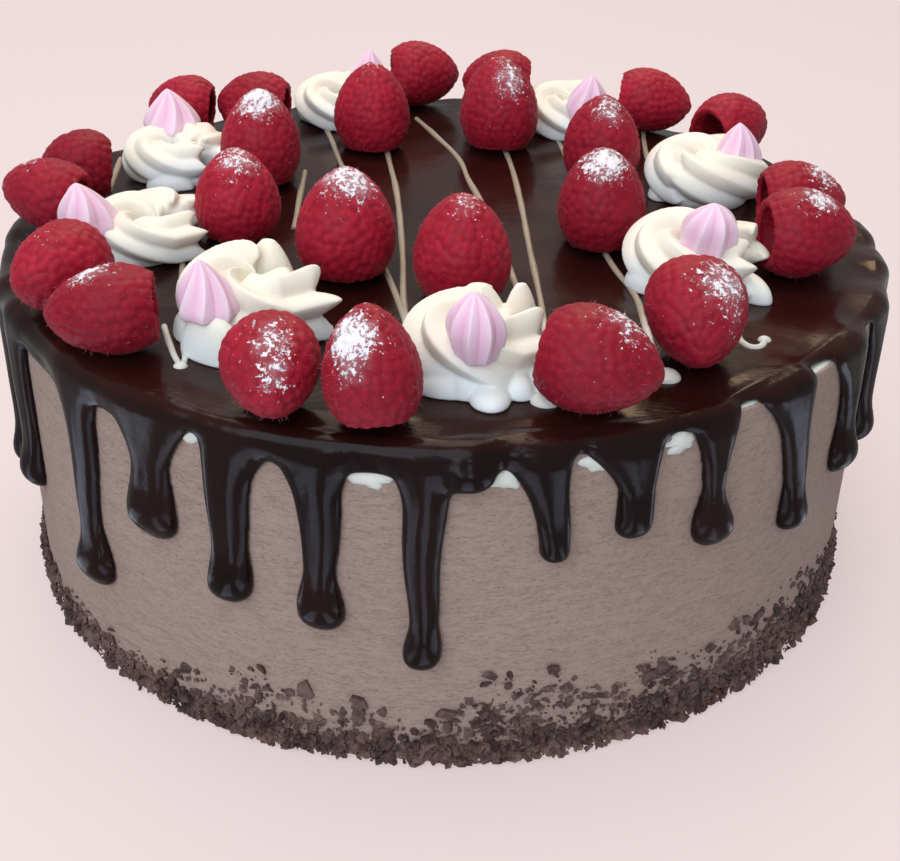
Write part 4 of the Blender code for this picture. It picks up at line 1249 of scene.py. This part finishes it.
# Width, length, heading, rise, whether the hollow shows, and the sugar patches: each a heading
# and rise as seen from the berry's middle, a spread in degrees and a thickness.
BERRIES = (
    (0.0200, 0.0220, 168, 8, True, ((140, 60, 30, 0.7),)),
    (0.0200, 0.0190, 198, 8, False, ()),
    (0.0215, 0.0235, -120, 2, False, ((-110, 60, 24, 0.35),)),
    (0.0205, 0.0245, 190, -2, True, ((180, 74, 28, 1.0),)),
    (0.0226, 0.0235, 90, 84, False, ((-70, 76, 32, 0.85),)),
    (0.0238, 0.0262, 90, 84, False, ((-90, 80, 30, 1.2),)),
    (0.0205, 0.0200, 180, 5, False, ()),
    (0.0215, 0.0225, 175, 5, True, ()),
    (0.0250, 0.0268, 90, 86, False, ((-60, 78, 32, 1.0),)),
    (0.0205, 0.0230, -82, -14, False, ((-66, 62, 34, 0.85), (-76, 24, 24, 0.85))),
    (0.0212, 0.0240, 110, 72, False, ((-138, 56, 30, 1.30), (-118, 18, 24, 0.55))),
    (0.0230, 0.0260, 90, 86, False, ((90, 84, 26, 0.5),)),
    (0.0222, 0.0230, 6, 0, False, ()),
    (0.0244, 0.0257, 90, 86, False, ((-60, 80, 22, 0.7),)),
    (0.0246, 0.0275, 90, 86, False, ((-60, 50, 30, 0.8), (0, 86, 20, 0.7))),
    (0.0215, 0.0220, 180, 5, False, ()),
    (0.0233, 0.0248, 90, 84, False, ((-70, 70, 30, 0.75),)),
    (0.0239, 0.0254, 90, 86, False, ((-100, 74, 32, 1.1),)),
    (0.0200, 0.0235, -10, -4, False, ()),
    (0.0215, 0.0235, 38, 4, True, ()),
    (0.0228, 0.0245, -92, -24, False, ((-40, 58, 34, 0.9), (-50, 18, 26, 0.5))),
    (0.0225, 0.0255, -22, -4, False, ((10, 58, 36, 0.8), (-40, 50, 24, 0.6))),
    (0.0210, 0.0225, 1, 3, False, ((-10, 62, 30, 0.9),)),
    (0.0222, 0.0240, 5, 0, True, ((-60, 78, 26, 1.0),)),
)
# The berry whose hollow is as bright as its skin: the painted shade in its hollow is lightened by this
# share.
PALE_INSIDE = 24
PALENESS = 0.65
# How far each berry has gone from bright red to deep crimson.
RIPENESS = (
    0.34, 0.60, 0.00, 0.50, 0.00, 0.10, 0.00, 0.30, 0.00, 0.20, 0.35, 0.05,
    0.20, 0.00, 0.25, 0.30, 0.35, 0.55, 0.05, 0.20, 0.35, 0.50, 0.40, 0.45,
)
# Rows of points from the hollow to the tip, of which the first ones lie inside, and points in a row.
BERRY_ROWS = 96
INSIDE_ROWS = 23
BERRY_COLUMNS = 150
# The drupes' size, how far they stand out, how far the first row starts inside the lip and the last
# one ends before the tip, and over what stretch their relief fades at both ends.
DRUPE = 0.00235
DRUPE_RELIEF = 0.00068
FIRST_ROW, LAST_ROW = 0.0004, 0.0008
LIP_FADE, TIP_FADE = 0.0012, 0.0010
WIDEST = 0.34
BERRY_SEED = 300
BERRY_SUNK = 0.0002
DENTS = 7
DENT_DEPTH = 0.0007
# The waves that break the sugar up into specks and bare spots: how many, and radians to a metre.
SPECK_SEED = 900
SPECK_WAVES = 24
SPECK_RATE = 1400


def berry_profile(width, length, hollow):
    """Radius and height of the skin, from the hollow's end, over the lip, to the tip."""
    near_tip = 0.9 + 0.1 * np.sin(np.linspace(0.05, 1, 24) * pi / 2)
    shares = np.concatenate([np.linspace(0, 0.9, 40), near_tip])
    narrow = 1 - 0.28 * (np.maximum(WIDEST - shares, 0) / WIDEST) ** 2.2
    taper = np.clip((shares - WIDEST) / (1.0 - WIDEST), 0, 1)
    outer = width / 2 * np.where(shares < WIDEST, narrow, (1 - taper**1.9) ** 0.62)
    inner_reach = np.array([0.02, 0.14, 0.22, 0.265, 0.30]) * width
    depth = 0.50 if hollow else 0.25
    inner_share = np.array([depth, 0.96 * depth, 0.5 * depth, 0.16, 0.03])
    radius = np.concatenate([inner_reach, outer])
    height = np.concatenate([inner_share, shares]) * length
    steps = np.concatenate([[0], np.cumsum(np.hypot(np.diff(radius), np.diff(height)))])
    even = np.linspace(0, steps[-1], BERRY_ROWS)
    return np.interp(even, steps, radius), np.interp(even, steps, height), even, steps[4]


def drupe_centres(radius, height, path, lip, rng):
    """Places of the drupes: loose staggered rows round the skin from the lip to the tip."""
    centres = []
    row_path = lip - FIRST_ROW
    while row_path < path[-1] - LAST_ROW:
        at = np.interp(row_path, path, radius)
        count = max(3, int(round(2 * pi * at / (DRUPE * 1.04))))
        start = rng.uniform(0, 1)
        for index in range(count):
            turn = 2 * pi * (index + start + rng.uniform(-0.22, 0.22)) / count
            along = row_path + DRUPE * (0.24 * (index % 2) + rng.uniform(-0.24, 0.24))
            at = np.interp(along, path, radius)
            centres.append((at * cos(turn), at * sin(turn), np.interp(along, path, height)))
        row_path += DRUPE * 0.90
    centres.append((0.0, 0.0, height[-1]))
    return np.array(centres)


def berry_skin(width, length, hollow, seed):
    """Rings of a berry with its tip up, and how far out of the creases each point stands, which sets the
    painted shade in the creases.
    """
    rng = np.random.default_rng(seed)
    radius, height, path, lip = berry_profile(width, length, hollow)
    turns = angles_round(BERRY_COLUMNS)
    sag = 1 + 0.030 * np.cos(2 * turns + rng.uniform(0, 6)) + 0.020 * np.cos(3 * turns + rng.uniform(0, 6))
    rings = polar(radius[:, None] * sag, turns, height[:, None])
    out = np.gradient(height, path)
    up = -np.gradient(radius, path)
    length_of = np.hypot(out, up)
    out, up = out / length_of, up / length_of
    normals = polar(out[:, None], turns, up[:, None])
    centres = drupe_centres(radius, height, path, lip, rng)
    size = rng.uniform(0.88, 1.16, len(centres))
    gaps = np.linalg.norm(rings.reshape(-1, 1, 3) - centres[None], axis=-1) / (0.68 * DRUPE * size)
    domes = np.clip(1.06 - gaps**2, 0.0004, None) ** 0.62
    dome = (np.log(np.exp(12 * domes).sum(1)) / 12).reshape(BERRY_ROWS, BERRY_COLUMNS)
    dents = rng.uniform(-1, 1, (DENTS, 3))
    dents = dents / np.linalg.norm(dents, axis=1)[:, None]
    way_out = rings - (0, 0, length * 0.45)
    way_out = way_out / np.linalg.norm(way_out, axis=-1)[..., None]
    deep = rng.uniform(-0.5, 0.6, DENTS)
    soft = sum(np.exp(-((1 - way_out @ dent) / 0.07)) * share for dent, share in zip(dents, deep))
    inside = np.clip((path - lip) / LIP_FADE + 1, 0, 1)[:, None]
    end = np.clip((path[-1] - path) / TIP_FADE, 0.35, 1)[:, None]
    outward = DRUPE_RELIEF * (dome * inside - 0.95) * end - DENT_DEPTH * soft * inside
    rings = rings + normals * outward[..., None]
    plump = np.clip((dome - 0.62) / 0.40, 0, 1)
    return rings, (plump * inside + 0.25 * (1 - inside)).ravel()


flesh, flesh_shader, place = new_finish(
    "red_berry_skin",
    Subsurface_Weight=0.30,
    Subsurface_Scale=0.0022,
    Subsurface_Radius=(1.0, 0.18, 0.14),
    Specular_IOR_Level=0.17,
    Sheen_Weight=0.05,
    Sheen_Roughness=0.45,
    Sheen_Tint=(1.0, 0.62, 0.66, 1.0),
)
plump, dust, ripeness, skin = (place.mark(name) for name in ("plump", "dust", "ripeness", "outside"))
blush = place.noise(130).between(0.34, 0.68)
bright = blush.tint(rgb(0.330, 0.0085, 0.0260), rgb(0.435, 0.0135, 0.0380))
# Painted shade: the red is darker in the creases between the drupes.
red = plump.between(0.0, 0.60).tint(rgb(0.320, 0.0078, 0.0240), bright)
ripe = ripeness.tint(red, rgb(0.195, 0.0042, 0.0150))
# Painted shade: the inside of the hollow is a much darker red than the skin.
red = skin.tint(rgb(0.120, 0.0030, 0.0090), ripe)
powder = place.noise(1050, 3, 0.72)
clump = place.noise(430, 3, 0.6)
patchy = place.noise(190, 2)
film = (dust + 0.9 * patchy + 0.5 * clump - 0.98).between(0.10, 0.90)
specks = (0.50 * dust + 1.45 * powder + 0.8 * clump - 1.33).between(0.17, 0.25)
dusted = film * (0.22 + 0.42 * powder)
hazy = dusted.tint(red, rgb(0.74, 0.62, 0.70))
specks.tint(hazy, rgb(0.88, 0.84, 0.90)).feed(flesh_shader, "Base Color")
(0.46 + 0.12 * blush + 0.3 * specks).feed(flesh_shader, "Roughness")
velvet = place.noise(1600, 2, 0.6)
skin_height = 0.4 * velvet + 1.4 * specks + 0.6 * place.noise(500)
place.bump(skin_height, 0.00014).feed(flesh_shader, "Normal")

berries = []
for number, (width, length, heading, rise, hollow, patches) in enumerate(BERRIES, start=1):
    rings, crease_shade_masks = berry_skin(width, length, hollow, BERRY_SEED + number)
    tipped = Euler((0, radians(90 - rise), radians(heading))).to_matrix()
    points = (rings.reshape(-1, 3) - (0, 0, length / 2)) @ np.array(tipped).T
    low, high = (np.array(corner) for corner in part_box(f"berry_{number:02d}"))
    shift = (low + high) / 2 - (points.max(0) + points.min(0)) / 2
    shift[2] = low[2] - points[:, 2].min() - BERRY_SUNK
    points = points + shift
    middle = (points.max(0) + points.min(0)) / 2
    away = points - middle
    away = away / np.linalg.norm(away, axis=1)[:, None]
    dusting = np.zeros(len(points))
    for patch_heading, patch_rise, spread, thickness in patches:
        turn, lift = radians(patch_heading), radians(patch_rise)
        aim = np.array([cos(lift) * cos(turn), cos(lift) * sin(turn), sin(lift)])
        off_aim = np.degrees(np.arccos(np.clip(away @ aim, -1, 1)))
        dusting = np.maximum(dusting, thickness * np.exp(-((off_aim / (1.25 * spread)) ** 2)))
    dusting = np.concatenate([dusting, [0, 0]])
    ragged = 0.0
    for *run, lag in np.random.default_rng(SPECK_SEED + number).normal(size=(SPECK_WAVES, 4)):
        distance = points @ run / np.linalg.norm(run)
        ragged = ragged + np.sin(SPECK_RATE * distance * (0.5 + abs(lag)) + 9 * lag)
    ragged = np.concatenate([ragged, [0, 0]]) / SPECK_WAVES**0.5
    outside = np.repeat((np.arange(BERRY_ROWS) >= INSIDE_ROWS).astype(float), BERRY_COLUMNS)
    if number == PALE_INSIDE:
        outside = np.maximum(outside, PALENESS)
    marks = {
        "plump": np.concatenate([crease_shade_masks, [0.2, 0.8]]),
        "dust": dusting,
        "sprinkle": np.clip(dusting - 0.12, 0, 1.2) ** 1.4 * np.clip(0.35 + 0.75 * ragged, 0, 2.2),
        "outside": np.concatenate([outside, [0, 1]]),
        "ripeness": np.full(len(outside) + 2, RIPENESS[number - 1]),
    }
    skin_rings = points.reshape(BERRY_ROWS, BERRY_COLUMNS, 3)
    berry = new_piece(f"berry_{number:02d}_ripe", *loft(skin_rings), flesh, marks)
    berries.append(berry)
    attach(berry, "root")
    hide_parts(f"berry_{number:02d}")

# ---------------------------------------------------------------------------------------------
# What the berries carry: sugar grains shaken over them, thick in the dusted patches and loose round
# them, and the fine pale hairs that stand on every berry's skin.
GRAINS_TO_SQUARE_METRE = 0.80e6
GRAIN_SIZES = (0.00018, 0.00055)
GRAIN_TILT = 0.9
SPREAD_SEED = 4
SPREAD_RARITY = 2.0
# A grain a metre wide, as rings: their width and level.
CRYSTAL = ((0.85, -0.3), (1.0, 0.1), (0.5, 0.42))
HAIRS_TO_SQUARE_METRE = 1.6e5
HAIR_SIZES = (0.0005, 0.0013)
HAIR_TILT = 0.45
# A hair a metre long, as rings: their radius, level and bend to the side.
STALK = ((0.024, -0.05, 0.0), (0.018, 0.45, 0.03), (0.006, 0.97, 0.14))


def strewn(name, shape, mark, material, values, tilt):
    """Copies of a shape on the berries, as many as the mark's value asks for at each place."""
    ground = bpy.data.objects.new(name + "_ground", bpy.data.meshes.new(name + "_ground"))
    gather(berries, ground.data)
    bpy.context.scene.collection.objects.link(ground)
    grower = Grower(name, {"Shape": "Object", **SCATTER_INPUTS})
    source = grower.add("GeometryNodeObjectInfo", {}, {"Object": grower.given("Shape")}, output=4)
    grower.finish(grower.scatter(mark, source, SPREAD_RARITY, tilt, pi), material)
    piece = grown(name, ground, grower, {"Shape": shape, **values}, material)
    bpy.data.objects.remove(shape, do_unlink=True)
    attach(piece, "root")
    return piece


sugar, sugar_shader, place = new_finish(
    "powdered_sugar", Roughness=0.5, Subsurface_Weight=0.3, Subsurface_Scale=0.0008
)
place.noise(900, 2).tint(rgb(0.86, 0.82, 0.88), rgb(0.93, 0.91, 0.95)).feed(sugar_shader, "Base Color")
(0.35 + 0.3 * place.noise(1800, 2)).feed(sugar_shader, "Roughness")
crystal = [polar(reach / 2, angles_round(4), level) for reach, level in CRYSTAL]
grain = new_piece("sugar_grain", *loft(crystal), sugar)
grain_values = amounts(GRAIN_SIZES, GRAINS_TO_SQUARE_METRE, SPREAD_SEED)
grains = strewn("sugar_grains", grain, "sprinkle", sugar, grain_values, GRAIN_TILT)

down, down_shader, place = new_finish("berry_hairs", Roughness=0.6, Specular_IOR_Level=0.2)
place.noise(200, 2).tint(rgb(0.62, 0.22, 0.26), rgb(0.78, 0.42, 0.44)).feed(down_shader, "Base Color")
stalk = [polar(reach, angles_round(3), level, bend) for reach, level, bend in STALK]
hair = new_piece("berry_hair", *loft(stalk), down)
hair_values = amounts(HAIR_SIZES, HAIRS_TO_SQUARE_METRE, SPREAD_SEED)
hairs = strewn("fine_hairs", hair, "outside", down, hair_values, HAIR_TILT)

# ---------------------------------------------------------------------------------------------
# The floor and the light: a plain pale floor, a soft window-like light from the front left, a warm
# room light from above the back, and a pale sky all round.
FLOOR_REACH = 4
FLOOR_COLUMNS = 48
floor_finish, floor_shader, place = new_finish(
    "pale_floor",
    Roughness=0.8,
    Specular_IOR_Level=0.0,
    Emission_Color=(0.88, 0.745, 0.745, 1.0),
    Emission_Strength=0.59,
)
place.noise(3, 2).tint(rgb(0.33, 0.28, 0.28), rgb(0.35, 0.30, 0.30)).feed(floor_shader, "Base Color")
floor_rings = [polar(FLOOR_REACH, angles_round(FLOOR_COLUMNS), level) for level in (-0.02, -0.0002)]
floor = new_piece("floor", *loft(floor_rings), floor_finish)
floor.data.shade_flat()
floor.visible_diffuse = False
floor.visible_glossy = False

# Pale cards round the foot, seen only in the gloss: the angle of each card's middle.
CARD_MIDDLES = (-152, -116, -88, -58, -24)
CARD_SPREAD = radians(13)
CARD_FROM, CARD_TO = 0.140, 0.300
CARD_CORNERS = 6
CARD_LEVEL = 0.0006
# A warm lamplit wall far behind, low over the table, seen only in the gloss: its two ends and levels.
WALL_ENDS = (-0.03, 0.33)
WALL_LEVELS = (0.565, 1.02)
WALL_BACK = 0.62


def gloss_sheet(name, corners, finish):
    """A sheet between two rows of corners, seen only in the gloss of the cake."""
    row = len(corners) // 2
    quads = np.array([[k, k + 1, k + row + 1, k + row] for k in range(row - 1)])
    sheet = new_piece(name, corners, [quads], finish)
    sheet.visible_camera = sheet.visible_diffuse = sheet.visible_transmission = sheet.visible_shadow = False
    return sheet


card_finish, card_shader, place = new_finish(
    "pale_card", Roughness=0.9, Emission_Color=(0.80, 0.90, 1.12, 1.0), Emission_Strength=2.2
)
place.noise(5, 2).tint(rgb(0.10, 0.11, 0.13), rgb(0.11, 0.12, 0.14)).feed(card_shader, "Base Color")
for number, middle in enumerate(CARD_MIDDLES):
    turns = radians(middle) + np.linspace(-CARD_SPREAD / 2, CARD_SPREAD / 2, CARD_CORNERS)
    corners = np.concatenate([polar(reach, turns, CARD_LEVEL) for reach in (CARD_FROM, CARD_TO)])
    card = gloss_sheet(f"card_{number}", corners, card_finish)

wall_finish, wall_shader, place = new_finish(
    "lamplit_wall", Roughness=0.9, Emission_Color=(1.0, 0.70, 0.44, 1.0), Emission_Strength=6.6
)
place.noise(5, 2).tint(rgb(0.12, 0.09, 0.06), rgb(0.13, 0.10, 0.07)).feed(wall_shader, "Base Color")
corners = [(x, WALL_BACK, z) for z in WALL_LEVELS for x in WALL_ENDS]
wall = gloss_sheet("wall", corners, wall_finish)

# Each light's place, width and height, power and colour. All look at the middle of the cake.
LIGHTS_AIM = (0, 0, 0.06)
LIGHTS = (
    ("window", (-0.40, -0.95, 0.90), (1.3, 1.3), 10.0, (0.90, 0.98, 1.06)),
    ("room", (0.02, 0.80, 1.00), (0.80, 0.80), 2.5, (1.0, 0.84, 0.64)),
    ("ceiling", (-0.15, 0.20, 1.30), (0.90, 0.90), 7.0, (1.0, 0.94, 0.86)),
    ("left_pane", (-0.42, -1.45, 0.32), (0.15, 0.42), 0.85, (0.80, 0.93, 1.12)),
    ("right_pane", (0.22, -1.55, 0.32), (0.15, 0.42), 0.85, (0.80, 0.93, 1.12)),
)
for name, spot, size, power, colour in LIGHTS:
    lamp = bpy.data.lights.new(name, "AREA")
    lamp.shape = "ELLIPSE"
    lamp.size, lamp.size_y = size
    lamp.energy = power
    lamp.color = colour
    light = bpy.data.objects.new(name, lamp)
    light.location = spot
    light.rotation_euler = (Vector(LIGHTS_AIM) - Vector(spot)).to_track_quat("-Z", "Y").to_euler()
    bpy.context.scene.collection.objects.link(light)

world = bpy.data.worlds.new("studio")
bpy.context.scene.world = world
world.use_nodes = True
world.node_tree.nodes["Background"].inputs["Color"].default_value = (0.95, 0.93, 0.93, 1.0)
world.node_tree.nodes["Background"].inputs["Strength"].default_value = 0.42
bpy.context.scene.view_settings.view_transform = "Standard"
